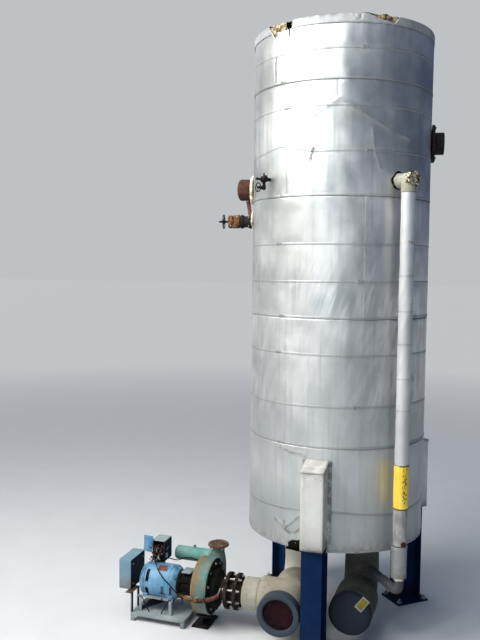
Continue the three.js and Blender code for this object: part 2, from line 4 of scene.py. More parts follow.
import bmesh
import bpy
import numpy as np
from mathutils import Matrix, Vector


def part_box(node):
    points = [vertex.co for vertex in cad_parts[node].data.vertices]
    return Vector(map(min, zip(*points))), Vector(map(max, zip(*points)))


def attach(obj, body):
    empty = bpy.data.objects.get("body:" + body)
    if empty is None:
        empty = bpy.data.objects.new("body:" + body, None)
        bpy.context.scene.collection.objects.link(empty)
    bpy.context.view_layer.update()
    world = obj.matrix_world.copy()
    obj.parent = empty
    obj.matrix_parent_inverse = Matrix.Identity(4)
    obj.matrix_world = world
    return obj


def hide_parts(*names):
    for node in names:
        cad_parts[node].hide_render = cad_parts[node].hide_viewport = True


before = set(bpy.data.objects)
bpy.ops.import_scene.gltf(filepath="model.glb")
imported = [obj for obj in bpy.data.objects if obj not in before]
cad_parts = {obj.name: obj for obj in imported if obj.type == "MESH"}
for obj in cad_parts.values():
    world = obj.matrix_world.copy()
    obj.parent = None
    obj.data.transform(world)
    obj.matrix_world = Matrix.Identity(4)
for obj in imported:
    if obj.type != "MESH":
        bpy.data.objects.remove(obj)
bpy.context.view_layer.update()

# The tank's axis in the frame, from the middle of its shell.
SHELL_LOW, SHELL_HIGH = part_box("vessel_shell")
AXIS = Vector(((SHELL_LOW.x + SHELL_HIGH.x) / 2, (SHELL_LOW.y + SHELL_HIGH.y) / 2, 0.0))

# Driving dimensions, the same as the solids'. Directions are degrees from the near leg, positive to +X.
SHELL_RADIUS = 0.6095
FOAM_RADIUS = 0.6745
JACKET_RADIUS = 0.686
JACKET_BOTTOM = 0.75
JACKET_TOP = 4.56
COURSE_SEAMS = [0, 0.760, 1.692, 2.562, 3.366, 3.804]
COURSE_BANDS = [[0.302], [1.057, 1.429], [1.954, 2.221], [2.866, 3.183], [3.583]]
BAND_WIDTH = 0.017
ROOF_RISE = 0.085
ROOF_SKIRT = 0.065
ROOF_RADIUS = 0.6902
ROOF_LEAN = math.atan(ROOF_RISE / ROOF_RADIUS)
LEG_DIRECTIONS = {"near": 0, "right": 132, "left": -132}
LEG_HALF = 0.076
LEG_FACE = 0.6098
LEG_DEPTH = 0.203
LEG_TOP = 1.345
COVER_LEFT = -0.080
COVER_RIGHT = 0.088
COVER_BACK = 0.6895
COVER_REACH = 0.857
COVER_BOTTOM = 0.803
COVER_FRONT_TOP = 1.374
COVER_SLOPE = 0.046 / 0.174
LEVEL_DIRECTION = 47.6
LEVEL_AXIS = 0.790
UPPER_STUB = (-80, 3.420)
RIGHT_STUB = (97, 3.762)
SIDE_VALVE = (-80, 3.168)
GAUGE_VALVE = (-38, 3.447)
GAUGE_WHEEL_DROP = 0.062
HEADER_X = 0.245
HEADER_Y = -0.080
HEADER_Z = 0.280
PUMP_Y = -0.520
PUMP_Z = 0.288

# How far out the sheets, the straps and the roof's skirt may bulge.
SHEET_LIMIT = 0.6898
STRAP_LIMIT = 0.6899
SKIRT_LIMIT = 0.6915
# Thickness that the thin sheets are given.
SHEET = 0.0012
# Grid points nearer than this to a tear's outline move onto it.
SNAP = 0.0034

# Lap seams of each course, by direction.
LAPS = [[178], [-22, 158], [26, -152], [-23.3, 139], [-32.5, 166]]
# Straps that don't run level: nominal height, then (direction, height) along them.
STRAP_WAVES = {
    3.616: [(-90, 3.622), (-48, 3.643), (-33, 3.668), (-27, 3.676), (-21, 3.660), (-6, 3.623), (89, 3.627)],
    4.1245: [(-62, 4.137), (-33, 4.130), (12, 4.122), (82, 4.120)],
    3.933: [(-60, 3.935), (-20, 3.942), (40, 3.936)],
    1.052: [(-67, 1.004), (-10, 1.038), (13, 1.045), (51, 1.010), (120, 1.05)],
}
# Creases: (direction, height) along each, height of the ridge and its width.
CREASES = [
    ([(-9.2, 3.84), (2.7, 3.935), (9.5, 3.975)], 0.0028, 0.014),
    ([(9.5, 3.975), (28.4, 3.846), (47.3, 3.752), (55.6, 3.734)], 0.0030, 0.016),
    ([(8.2, 4.117), (8.4, 3.98)], -0.0008, 0.010),
    ([(29.2, 3.778), (30.7, 3.627), (34.7, 3.505)], 0.0022, 0.012),
    ([(-33.9, 4.31), (-34.7, 4.24), (-33.8, 4.19), (-34.6, 4.135)], -0.0020, 0.006),
    ([(-25.3, 1.477), (-17.7, 1.455), (-7.5, 1.442)], 0.0024, 0.012),
    ([(-21.2, 0.877), (-15.5, 0.937), (-10.7, 0.992)], 0.0042, 0.010),
    ([(-20.5, 0.865), (-17.5, 0.850), (-13.5, 0.862), (-9.5, 0.900)], -0.0050, 0.022),
    ([(-29, 0.930), (-24, 0.905), (-21.2, 0.877)], 0.0030, 0.014),
    ([(-21.6, 0.925), (-21.9, 0.885)], -0.0040, 0.008),
    ([(-60, 2.90), (-52, 2.80), (-50, 2.62)], -0.0020, 0.020),
    ([(52, 2.20), (60, 2.05), (66, 1.98)], 0.0020, 0.016),
    ([(100, 1.4), (118, 1.6), (125, 1.9)], 0.0024, 0.018),
    ([(-150, 3.1), (-163, 2.9), (-170, 2.75)], 0.0026, 0.018),
]
# Tears at the rim, as (direction, height above the rim); what is beyond the rim lies on the roof.
LEFT_TEAR = [(-41, 0.02), (-40.5, -0.02), (-38, -0.05), (-34.5, -0.105), (-33, -0.06), (-29, -0.07),
             (-26, -0.05), (-25.5, 0.0), (-27, 0.05)]
NARROW_TEAR = [(-27.5, 0.04), (-27.5, -0.052), (-25.4, -0.074), (-24.2, -0.058), (-23.5, -0.07),
               (-23, -0.135), (-22.6, -0.06), (-21.4, -0.066), (-20.8, -0.03), (-21.3, 0.02)]
RIGHT_TEAR = [(21.7, 0.0), (32, -0.035), (41.8, -0.055), (45.2, -0.01), (44, 0.02), (30, 0.03)]
RIM_TEARS = [LEFT_TEAR, NARROW_TEAR, RIGHT_TEAR]
# Where the foam behind the narrow tear is gone.
SLIT = [(-25.6, 0.0), (-25.2, -0.035), (-24.4, -0.052), (-23.6, -0.064), (-23.1, -0.13), (-22.5, -0.066),
        (-21.9, -0.045), (-22.4, 0.0)]
# Notch torn out of the hem, left of the near leg's cover, as (direction, height).
HEM_HOLE = [(-18.8, 0.735), (-18.2, 0.778), (-15.5, 0.800), (-12.0, 0.806), (-8.9, 0.822), (-8.6, 0.735)]
# Columns of the jacket's and the roof's grids are finer over these directions, where the tears are.
TORN = [(-43, -19), (20, 47)]


def at(x, y, z):
    """A point given from the tank's axis and the floor."""
    return AXIS + Vector((x, y, z))


def polar(direction, radius, height):
    angle = math.radians(direction)
    return at(radius * math.sin(angle), -radius * math.cos(angle), height)


def shift(x, y, z):
    return Matrix.Translation((x, y, z))


def turned(degrees, axis="Z"):
    return Matrix.Rotation(math.radians(degrees), 4, axis)


def facing(direction, height, reach=0.0):
    """A place whose Z points away from the tank in a direction, with Y up."""
    angle = math.radians(direction)
    rows = ((math.cos(angle), 0, math.sin(angle)), (math.sin(angle), 0, -math.cos(angle)), (0, 1, 0))
    return Matrix.Translation(polar(direction, reach, height)) @ Matrix(rows).to_4x4()


def standing(x, y, z):
    return Matrix.Translation(at(x, y, z))


def along_x(x, y, z):
    """A place whose Z runs along +X, with Y up."""
    return standing(x, y, z) @ Matrix(((0, 0, 1), (1, 0, 0), (0, 1, 0))).to_4x4()


def along_front(x, y, z):
    """A place whose Z runs along -Y, with Y up."""
    return standing(x, y, z) @ Matrix(((1, 0, 0), (0, 0, -1), (0, 1, 0))).to_4x4()


def ring_of(place, count, radius, start, height=0.0, flip=False):
    """Places spaced evenly round a place's Z, turned over where flip is set."""
    end = shift(radius, 0, height) @ turned(180 if flip else 0, "X")
    return [place @ turned(start + 360 * k / count) @ end for k in range(count)]


def even(start, end, step):
    """Numbers from start to end, about a step apart."""
    return np.linspace(start, end, max(2, int(round((end - start) / step)) + 1))


def between(start, end, count):
    """Points along a straight line."""
    return [start.lerp(end, t) for t in np.linspace(0, 1, count)]


def smooth_path(points, steps=8):
    """A curve through points."""
    p = [Vector(point) for point in points]
    p = [p[0] * 2 - p[1]] + p + [p[-1] * 2 - p[-2]]
    path = []
    for a, b, c, d in zip(p, p[1:], p[2:], p[3:]):
        for t in np.linspace(0, 1, steps, endpoint=False):
            bend = (2 * a - 5 * b + 4 * c - d) * t * t + (3 * b - a - 3 * c + d) * t**3
            path.append(0.5 * (2 * b + (c - a) * t + bend))
    path.append(p[-2])
    return path


def waves(points, size, seed, count=20):
    """A smooth random field, mostly between -1 and 1, with bumps of a size."""
    points = np.asarray(points, float)
    random = np.random.default_rng(seed)
    turns = random.normal(size=(count, 3))
    turns *= (random.uniform(0.6, 1.5, count) * math.pi / size / np.linalg.norm(turns, axis=1))[:, None]
    phases = random.uniform(0, 2 * math.pi, count)
    return np.cos(points @ turns.T + phases).sum(-1) / math.sqrt(count)


def fade(value, start, end):
    """0 up to start, 1 from end on, even between them."""
    return np.clip((value - start) / (end - start), 0, 1)


def hump(away, width):
    return np.exp(-((away / width) ** 2))


def falling(away, width):
    return np.exp(-away / width)


def off_from(directions, line):
    """Angles from a direction, between -180 and 180."""
    return (directions - line + 180) % 360 - 180


class Form:
    """Points and faces gathered for one piece. Each face has a finish, each point a grime-and-shade mark and
    a stain.
    """

    def __init__(self):
        self.points = []
        self.faces = []
        self.finishes = []
        self.grime = []
        self.stain = []

    def add(self, points, faces, finish=0, grime=None, stain=None):
        start = len(self.points)
        self.points.extend(map(tuple, points))
        self.faces.extend(tuple(start + i for i in face) for face in faces)
        self.finishes.extend([finish] * len(faces))
        blank = [0.0] * len(points)
        self.grime.extend(blank if grime is None else np.ravel(grime).tolist())
        self.stain.extend(blank if stain is None else np.ravel(stain).tolist())

    def grid(self, rows, around=False, over=False, keep=None, **marks):
        """Rows of points that run up, each in the order of growing direction, make an outward surface."""
        rows = np.asarray(rows, float)
        index = np.arange(rows.shape[0] * rows.shape[1]).reshape(rows.shape[:2])
        if around:
            index = np.hstack([index, index[:, :1]])
        if over:
            index = np.vstack([index, index[:1]])
        quads = np.stack([index[:-1, :-1], index[:-1, 1:], index[1:, 1:], index[1:, :-1]], -1)
        quads = quads[keep] if keep is not None else quads.reshape(-1, 4)
        self.add(rows.reshape(-1, 3), quads.tolist(), **marks)

    def lathe(self, profile, place, sides=32, finish=0, lumps=None):
        """A profile of (radius, height) turned about a place's Z. Lumps are (size, depth, seed)."""
        angles = np.linspace(0, 2 * math.pi, sides, endpoint=False)
        profile = np.asarray(profile, float)
        circle = np.stack([np.cos(angles), np.sin(angles)], -1)
        heights = np.repeat(profile[:, 1:, None], sides, 1)
        rows = np.concatenate([profile[:, :1, None] * circle, heights], -1)
        turn = np.array(place.to_3x3()).T
        middle = np.array(place.translation)
        if lumps:
            size, depth, seed = lumps
            push = depth * waves(rows @ turn + middle, size, seed)
            scale = 1 + push / np.maximum(profile[:, :1], 1e-4) * (profile[:, :1] > 1e-4)
            rows[..., :2] *= scale[..., None]
        self.grid(rows @ turn + middle, around=True, finish=finish)

    def sweep(self, path, radius, sides=12, finish=0, lumps=None):
        """A round bar along a path, closed at both ends."""
        path = [Vector(point) for point in path]
        radii = np.broadcast_to(radius, len(path))
        normal = (path[1] - path[0]).orthogonal().normalized()
        spokes = []
        for i in range(len(path)):
            heading = (path[min(i + 1, len(path) - 1)] - path[max(i - 1, 0)]).normalized()
            normal = (normal - heading * normal.dot(heading)).normalized()
            side = heading.cross(normal)
            angles = [2 * math.pi * k / sides for k in range(sides)]
            spokes.append([(normal * math.cos(a) + side * math.sin(a)) * float(radii[i]) for a in angles])
        centres = np.repeat(np.array(path)[:, None, :], sides, 1)
        spokes = np.array(spokes)
        if lumps:
            size, depth, seed = lumps
            spokes *= (1 + depth * waves(centres + spokes, size, seed) / radii[:, None])[..., None]
        rows = np.concatenate([centres[:1], centres + spokes, centres[-1:]])
        self.grid(rows, around=True, finish=finish)

    def ring(self, place, major, minor, sides=40, finish=0, tall=1.0):
        """A torus about a place's Z."""
        turns = np.linspace(0, 2 * math.pi, sides, endpoint=False)
        rows = []
        for angle in np.linspace(0, 2 * math.pi, 12, endpoint=False):
            radius = major + minor * math.cos(angle)
            height = minor * tall * math.sin(angle)
            circle = [(radius * math.cos(t), radius * math.sin(t), height) for t in turns]
            rows.append([place @ Vector(point) for point in circle])
        self.grid(rows, around=True, over=True, finish=finish)

    def block(self, size, place, bevel=0.002, finish=0, lumps=None, cuts=0):
        """A box with rounded edges round a place."""
        mesh = bmesh.new()
        bmesh.ops.create_cube(mesh, size=1.0)
        bmesh.ops.scale(mesh, vec=size, verts=mesh.verts)
        if bevel:
            edges = mesh.edges[:]
            bmesh.ops.bevel(mesh, geom=edges, offset=bevel, segments=2, affect="EDGES", profile=0.5)
        if cuts:
            bmesh.ops.subdivide_edges(mesh, edges=mesh.edges[:], cuts=cuts, use_grid_fill=True)
        mesh.verts.index_update()
        points = np.array([tuple(place @ v.co) for v in mesh.verts])
        if lumps:
            span, depth, seed = lumps
            for axis in range(3):
                points[:, axis] += depth * waves(points, span, seed + axis)
        self.add(points, [[v.index for v in face.verts] for face in mesh.faces], finish)
        mesh.free()

    def bolt(self, place, size=0.010, finish=0, washer=True):
        """A hexagon head on a washer, standing on a place."""
        if washer:
            disc = [(0, 0), (size * 1.35, 0), (size * 1.35, size * 0.25), (0, size * 0.25)]
            self.lathe(disc, place, 12, finish)
        head = [(0, size * 0.2), (size, size * 0.2), (size, size * 0.85), (size * 0.8, size), (0, size)]
        self.lathe(head, place, 6, finish)

    def bolts(self, places, size=0.010, finish=0, washer=True):
        for place in places:
            self.bolt(place, size, finish, washer)

    def rivet(self, place, size=0.0035):
        self.lathe([(0, 0), (size, 0), (size * 0.75, size * 0.45), (0, size * 0.6)], place, 8)

    def piece(self, name, finishes, nodes=(), body="frame", angle=35, thick=0.0):
        """Makes the gathered surface a piece: edges sharper than an angle stay sharp."""
        mesh = bpy.data.meshes.new(name)
        mesh.from_pydata(self.points, [], self.faces)
        mesh.polygons.foreach_set("material_index", self.finishes)
        for word, values in (("grime", self.grime), ("stain", self.stain)):
            if any(values):
                mesh.attributes.new(word, "FLOAT", "POINT").data.foreach_set("value", values)
        edit = bmesh.new()
        edit.from_mesh(mesh)
        bmesh.ops.remove_doubles(edit, verts=edit.verts, dist=1e-6)
        bmesh.ops.delete(edit, geom=[v for v in edit.verts if not v.link_faces], context="VERTS")
        if not thick:
            bmesh.ops.recalc_face_normals(edit, faces=edit.faces)
        edit.to_mesh(mesh)
        edit.free()
        mesh.shade_smooth()
        mesh.set_sharp_from_angle(angle=math.radians(angle))
        for finish in finishes:
            mesh.materials.append(finish)
        thing = bpy.data.objects.new(name, mesh)
        bpy.context.scene.collection.objects.link(thing)
        if thick:
            shell = thing.modifiers.new("thickness", "SOLIDIFY")
            shell.thickness = thick
            shell.offset = -1
        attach(thing, body)
        if nodes:
            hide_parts(*nodes)


class Finish:
    """A node material under construction. Values may be numbers, colours or sockets of other nodes."""

    def __init__(self, name, metallic=0.0, specular=0.5):
        self.material = bpy.data.materials.new(name)
        self.material.use_nodes = True
        self.tree = self.material.node_tree
        self.shader = self.tree.nodes["Principled BSDF"]
        self.shader.inputs["Metallic"].default_value = metallic
        self.shader.inputs["Specular IOR Level"].default_value = specular
        self.place = self.tree.nodes.new("ShaderNodeTexCoord").outputs["Object"]

    def put(self, socket, value):
        if isinstance(value, bpy.types.NodeSocket):
            self.tree.links.new(value, socket)
        elif isinstance(value, (tuple, list)) and len(value) == 3 and socket.type == "RGBA":
            socket.default_value = (*value, 1.0)
        else:
            socket.default_value = value

    def node(self, kind, outlet=0, **values):
        """A node with its settings in lower case and its inputs by name, underscores for spaces."""
        node = self.tree.nodes.new(kind)
        for key, value in values.items():
            if key[0].islower():
                setattr(node, key, value)
            else:
                self.put(node.inputs[key.replace("_", " ")], value)
        return node.outputs[outlet]

    def noise(self, scale, detail=4.0, stretch=(1, 1, 1), tilt=0.0, seed=0.0, rough=0.55):
        spot = self.place
        if tilt:
            spot = self.node("ShaderNodeMapping", Vector=spot, Rotation=(0, tilt, 0))
        away = (seed, seed * 0.7, seed * 1.3)
        spot = self.node("ShaderNodeMapping", Vector=spot, Scale=stretch, Location=away)
        return self.node("ShaderNodeTexNoise", Vector=spot, Scale=scale, Detail=detail, Roughness=rough)

    def level(self, value, low, high, start=0.0, end=1.0):
        """Maps a value from low and high to start and end, and stops there."""
        node = self.tree.nodes.new("ShaderNodeMapRange")
        for socket, number in zip(node.inputs, (value, low, high, start, end)):
            self.put(socket, number)
        return node.outputs[0]

    def chain(self, operation, values):
        total = values[0]
        for value in values[1:]:
            node = self.tree.nodes.new("ShaderNodeMath")
            node.operation = operation
            self.put(node.inputs[0], total)
            self.put(node.inputs[1], value)
            total = node.outputs[0]
        return total

    def plus(self, *values):
        return self.chain("ADD", values)

    def times(self, *values):
        return self.chain("MULTIPLY", values)

    def minus(self, *values):
        return self.chain("SUBTRACT", values)

    def mix(self, factor, first, second):
        node = self.tree.nodes.new("ShaderNodeMix")
        node.data_type = "RGBA"
        for inlet, value in ((0, factor), (6, first), (7, second)):
            self.put(node.inputs[inlet], value)
        return node.outputs[2]

    def mark(self, word):
        return self.node("ShaderNodeAttribute", 2, attribute_name=word)

    def height(self):
        return self.node("ShaderNodeSeparateXYZ", 2, Vector=self.place)

    def done(self, colour, roughness, relief=None, strength=0.3, distance=0.002):
        self.put(self.shader.inputs["Base Color"], colour)
        self.put(self.shader.inputs["Roughness"], roughness)
        if relief is not None:
            bump = self.node("ShaderNodeBump", Strength=strength, Distance=distance, Height=relief)
            self.tree.links.new(bump, self.shader.inputs["Normal"])
        return self.material


def sheet_metal(name, bright, dull, dirt_shade_tone, metallic=0.8, gloss=0.34, specular=0.5):
    """Weathered aluminium sheet: upright streaks, slanted streaks, blotches, painted shade low down, and the
    grime mark's dirt and painted shadow under straps.
    """
    f = Finish(name, metallic, specular)
    upright = (1.0, 1.0, 0.07)
    blotch = f.noise(2.2, 5, seed=3)
    streak = f.noise(9.0, 4, upright, seed=8)
    thin = f.noise(34.0, 3, (1.0, 1.0, 0.045), seed=14)
    # Slanted streaks: painted reflections in the tone, wipe marks in the roughness and bumps.
    slant_streak = f.noise(13.0, 3, upright, tilt=-0.34, seed=5)
    # The slanted streaks lie between two heights, and only in patches.
    patchy = f.level(f.noise(1.6, 2, seed=19), 0.40, 0.60, 0.15, 1.0)
    slant_zone = f.times(f.level(f.height(), 1.45, 1.85), f.level(f.height(), 3.10, 2.60), patchy)
    fine = f.noise(90.0, 4, seed=1)
    tone = f.mix(f.level(blotch, 0.36, 0.66), dull, bright)
    tone = f.mix(f.level(streak, 0.50, 0.74, 0.0, 0.45), tone, dull)
    tone = f.mix(f.level(thin, 0.50, 0.70, 0.0, 0.55), tone, dull)
    # Painted reflections: the slanted streaks lighten and darken the tone.
    tone = f.mix(f.times(slant_zone, f.level(slant_streak, 0.50, 0.61, 0.0, 0.75)), tone, bright)
    tone = f.mix(f.times(slant_zone, f.level(slant_streak, 0.49, 0.39, 0.0, 0.70)), tone, dull)
    # Painted shade: the tone turns dull and darker towards the bottom.
    low = f.level(f.height(), 2.3, 0.8)
    tone = f.mix(f.times(low, 0.75), tone, dull)
    # The grime mark: dirt, and on the jacket painted shadow under the straps and painted shade in creases.
    dirt_and_shade = f.times(f.mark("grime"), f.level(f.noise(26.0, 5, (1, 1, 0.4), seed=2), 0.30, 0.62))
    tone = f.mix(f.level(dirt_and_shade, 0.0, 1.0, 0.0, 0.62), tone, dirt_shade_tone)
    stained = f.times(f.mark("stain"), f.level(f.noise(16.0, 6, (1, 1, 0.25), seed=6), 0.34, 0.60))
    tone = f.mix(f.times(stained, 0.7), tone, (0.23, 0.18, 0.09))
    rough = f.plus(
        f.level(blotch, 0.3, 0.7, gloss, gloss + 0.12),
        f.level(fine, 0.3, 0.7, -0.04, 0.05),
        f.level(streak, 0.35, 0.60, -0.05, 0.03),
        f.times(low, 0.14),
        f.times(slant_zone, f.level(slant_streak, 0.40, 0.60, 0.07, -0.07)),
        f.level(dirt_and_shade, 0.0, 1.0, 0.0, 0.3),
    )
    relief = f.plus(
        f.noise(5.0, 3, seed=4),
        f.times(fine, 0.06),
        f.times(slant_zone, slant_streak, 0.35),
        f.times(f.noise(12.0, 3, (1.0, 1.0, 0.22), seed=23), 0.42),
        f.times(thin, 0.10),
    )
    return f.done(tone, rough, relief, 0.35, 0.004)


def worn_paint(name, paint, chalk, bare, wear=0.62, scale=14.0, rough=0.5, specular=0.5, streaks=0.35):
    """Old paint: chalky patches, chips down to what is under it, dirty streaks, and the grime mark's dirt
    and painted shade.
    """
    f = Finish(name, 0.0, specular)
    patch = f.noise(scale * 0.4, 5, seed=2)
    chip = f.noise(scale, 8, seed=7, rough=0.65)
    streak = f.noise(scale, 4, (1.0, 1.0, 0.12), seed=4)
    tone = f.mix(f.level(patch, 0.38, 0.66), paint, chalk)
    tone = f.mix(f.level(streak, 0.52, 0.75, 0.0, streaks), tone, bare)
    chipped = f.level(chip, wear, wear + 0.05)
    tone = f.mix(chipped, tone, bare)
    # The grime mark turns paint to the bare tone: dirt, and painted shade where a piece sets it.
    dirt_and_shade = f.level(f.mark("grime"), 0.0, 1.0)
    tone = f.mix(f.times(dirt_and_shade, f.level(chip, 0.30, 0.50)), tone, bare)
    roughness = f.plus(f.level(chip, 0.3, 0.7, rough - 0.06, rough + 0.08), f.times(chipped, 0.3))
    relief = f.minus(f.times(f.noise(scale * 3, 4, seed=9), 0.3), chipped)
    return f.done(tone, roughness, relief, 0.35, 0.0012)


def crust(
    name, dark, light, tint, scale=30.0, rough=0.88, strength=0.6, metallic=0.0, edge=0.15, specular=0.3
):
    """Rust, old castings and foam: three tones in a grainy crust."""
    f = Finish(name, metallic, specular)
    coarse = f.noise(scale * 0.3, 6, seed=1)
    grain = f.noise(scale, 8, seed=5, rough=0.65)
    tone = f.mix(f.level(coarse, 0.5 - edge, 0.5 + edge), dark, light)
    tone = f.mix(f.level(grain, 0.52, 0.66), tone, tint)
    relief = f.plus(grain, f.times(coarse, 1.5))
    roughness = f.level(grain, 0.3, 0.7, rough - 0.1, min(rough + 0.1, 1.0))
    return f.done(tone, roughness, relief, strength, 0.003)


def mastic(name, pale, tan, crack, scale=9.0):
    """Canvas under mastic: cream with tan weathering, fine cracks and a brushed surface."""
    f = Finish(name, 0.0, 0.3)
    patch = f.noise(scale * 0.35, 6, seed=3)
    cells = f.node("ShaderNodeTexVoronoi", feature="DISTANCE_TO_EDGE", Vector=f.place, Scale=scale * 1.6)
    line = f.times(f.level(cells, 0.0, 0.035, 1.0, 0.0), f.level(f.noise(scale * 0.5, 3, seed=6), 0.5, 0.62))
    brush = f.noise(scale * 8, 5, seed=8)
    tone = f.mix(f.level(patch, 0.40, 0.66), pale, tan)
    tone = f.mix(f.level(f.noise(scale * 1.3, 6, seed=12), 0.58, 0.72, 0.0, 0.7), tone, tan)
    tone = f.mix(f.level(brush, 0.45, 0.70, 0.0, 0.3), tone, tan)
    tone = f.mix(f.times(line, 0.7), tone, crack)
    relief = f.minus(f.times(brush, 0.5), line)
    return f.done(tone, f.level(brush, 0.3, 0.7, 0.72, 0.92), relief, 0.5, 0.002)


# Sheet: bright, dull, and dirt-and-shade tone, then metallic, roughness and specular.
aluminium = sheet_metal(
    "weathered_aluminium", (0.76, 0.77, 0.765), (0.40, 0.425, 0.425), (0.12, 0.10, 0.085))
strap_metal = sheet_metal(
    "strap_aluminium", (0.50, 0.52, 0.53), (0.33, 0.35, 0.355), (0.12, 0.11, 0.10), 0.8, 0.46)
dull_sheet = sheet_metal(
    "dull_sheet", (0.55, 0.57, 0.58), (0.31, 0.335, 0.35), (0.12, 0.10, 0.09), 0.6, 0.50)
bright_pipe = sheet_metal(
    "pipe_sheet", (0.60, 0.60, 0.615), (0.42, 0.425, 0.44), (0.14, 0.12, 0.10), 0.30, 0.48)
# The level pipe's lower piece: a darker copy of the pipe's sheet, as painted shade.
lower_sheet_shaded = sheet_metal(
    "lower_pipe_sheet_shaded", (0.46, 0.475, 0.475), (0.27, 0.285, 0.285), (0.10, 0.09, 0.08), 0.55, 0.42)
# The right cap's sheet, darkened to near black as painted shade.
cap_sheet_shaded = sheet_metal(
    "cap_sheet_shaded", (0.040, 0.050, 0.062), (0.016, 0.021, 0.030), (0.015, 0.015, 0.015), 0.0, 0.65, 0.12)
# The left sleeve's sheet, darkened as painted shade.
sleeve_sheet_shaded = sheet_metal(
    "sleeve_sheet_shaded", (0.080, 0.100, 0.122), (0.036, 0.048, 0.062), (0.03, 0.028, 0.026), 0.0, 0.65, 0.12)

# Crusts: dark, light and tinted tone, then grain, roughness, relief and metallic.
clip_metal = crust(
    "clip_metal", (0.20, 0.20, 0.20), (0.42, 0.42, 0.42), (0.10, 0.09, 0.08), 60.0, 0.55, 0.3, 0.6)
bare_steel = crust(
    "bare_steel", (0.26, 0.25, 0.24), (0.44, 0.43, 0.41), (0.18, 0.12, 0.08), 60.0, 0.5, 0.3, 0.7)
foam = crust(
    "aged_foam", (0.055, 0.042, 0.030), (0.40, 0.30, 0.175), (0.50, 0.43, 0.30), 120.0, 0.95,
    edge=0.07, specular=0.1)
cream_foam = crust(
    "cream_foam", (0.32, 0.29, 0.20), (0.80, 0.76, 0.63), (0.56, 0.51, 0.38), 90.0, 0.95,
    edge=0.10, specular=0.1)
torn_wrap = crust(
    "torn_wrap", (0.012, 0.009, 0.008), (0.56, 0.52, 0.38), (0.07, 0.038, 0.024), 230.0, 0.95,
    edge=0.05, specular=0.1)
# Near black: the colour of the cables and some leads, and painted shade in holes, slots and gaps.
shade_and_black = crust(
    "painted_shade_and_black", (0.003, 0.003, 0.003), (0.010, 0.009, 0.008), (0.006, 0.005, 0.005), 20.0, 0.95,
    specular=0.0)
rust = crust(
    "rust", (0.026, 0.015, 0.012), (0.100, 0.040, 0.029), (0.048, 0.030, 0.021), 40.0, specular=0.15)
rust_tan = crust(
    "tan_rust", (0.030, 0.018, 0.014), (0.170, 0.095, 0.062), (0.060, 0.036, 0.026), 60.0, specular=0.15)
rust_brown = crust(
    "brown_rust", (0.010, 0.008, 0.007), (0.046, 0.029, 0.021), (0.022, 0.015, 0.012), 60.0, specular=0.1)
dark_iron = crust(
    "dark_iron", (0.005, 0.005, 0.006), (0.018, 0.016, 0.017), (0.032, 0.020, 0.016), 40.0, 0.7,
    specular=0.15)
coupling_black = crust(
    "coupling_black", (0.003, 0.003, 0.003), (0.008, 0.008, 0.007), (0.014, 0.011, 0.008), 40.0, 0.85,
    specular=0.05)
ochre = crust(
    "ochre_casting", (0.030, 0.017, 0.011), (0.20, 0.095, 0.034), (0.012, 0.010, 0.010), 90.0,
    edge=0.07, specular=0.15)

# Paints: paint, chalk and bare tone, then wear, grain, roughness, specular and streaks.
# The legs' navy paint, darkened further as painted shade.
leg_paint_and_shade = worn_paint(
    "leg_blue_paint_and_shade", (0.0015, 0.012, 0.050), (0.0035, 0.019, 0.068), (0.012, 0.009, 0.009), 0.66,
    rough=0.6, specular=0.08)
cover_paint = worn_paint(
    "cover_white_paint", (0.58, 0.58, 0.55), (0.72, 0.72, 0.70), (0.17, 0.155, 0.13), 0.655, 11.0, 0.6, 0.3)
primer = worn_paint(
    "red_primer", (0.120, 0.040, 0.036), (0.175, 0.070, 0.062), (0.030, 0.018, 0.016), 0.57, 40.0, 0.7, 0.2)
# The blind's dark red, darkened further as painted shade.
blind_paint_and_shade = worn_paint(
    "dark_red_paint_and_shade", (0.012, 0.004, 0.006), (0.022, 0.006, 0.009), (0.006, 0.005, 0.006), 0.60, 24.0, 0.8,
    0.08)
teal_paint = worn_paint(
    "teal_paint", (0.060, 0.150, 0.148), (0.145, 0.215, 0.185), (0.205, 0.125, 0.052), 0.575, 26.0, 0.65,
    0.25, 0.9)
# Painted shade: near-black teal for the volute's +X face, hub and ribs.
teal_shaded = worn_paint(
    "teal_painted_shade", (0.006, 0.010, 0.009), (0.012, 0.016, 0.014), (0.020, 0.014, 0.010), 0.52, 30.0, 0.85,
    0.05, 0.8)
reservoir_paint = worn_paint(
    "reservoir_teal", (0.095, 0.250, 0.225), (0.180, 0.330, 0.285), (0.09, 0.085, 0.05), 0.64, 20.0, 0.6,
    0.25, 0.5)
motor_paint = worn_paint(
    "motor_blue_paint", (0.070, 0.205, 0.345), (0.155, 0.310, 0.455), (0.018, 0.024, 0.032), 0.605, 17.0,
    0.5, 0.3, 0.7)
# Dark navy: the terminal box, and painted shade on the guard's +X side, the base's braces and the plate
# under the motor.
navy_paint_and_shade = worn_paint(
    "navy_paint_and_shade", (0.007, 0.013, 0.028), (0.014, 0.024, 0.045), (0.012, 0.009, 0.008), 0.60, 20.0, 0.7,
    0.1)
guard_paint = worn_paint(
    "guard_blue_paint", (0.130, 0.235, 0.300), (0.215, 0.315, 0.360), (0.175, 0.110, 0.055), 0.60, 7.0, 0.6,
    0.25, 0.5)
# Grey base paint; its near-black bare tone also serves the painted shadow under the motor.
base_paint = worn_paint(
    "base_grey_paint", (0.205, 0.250, 0.262), (0.330, 0.370, 0.375), (0.012, 0.012, 0.012), 0.62, 12.0,
    0.65, 0.25, 0.2)
vessel_primer = worn_paint("vessel_primer", (0.14, 0.045, 0.035), (0.18, 0.07, 0.05), (0.05, 0.03, 0.02))
marker_yellow = worn_paint(
    "marker_yellow", (0.88, 0.58, 0.025), (0.90, 0.66, 0.09), (0.20, 0.13, 0.05), 0.66, 18.0, 0.5)
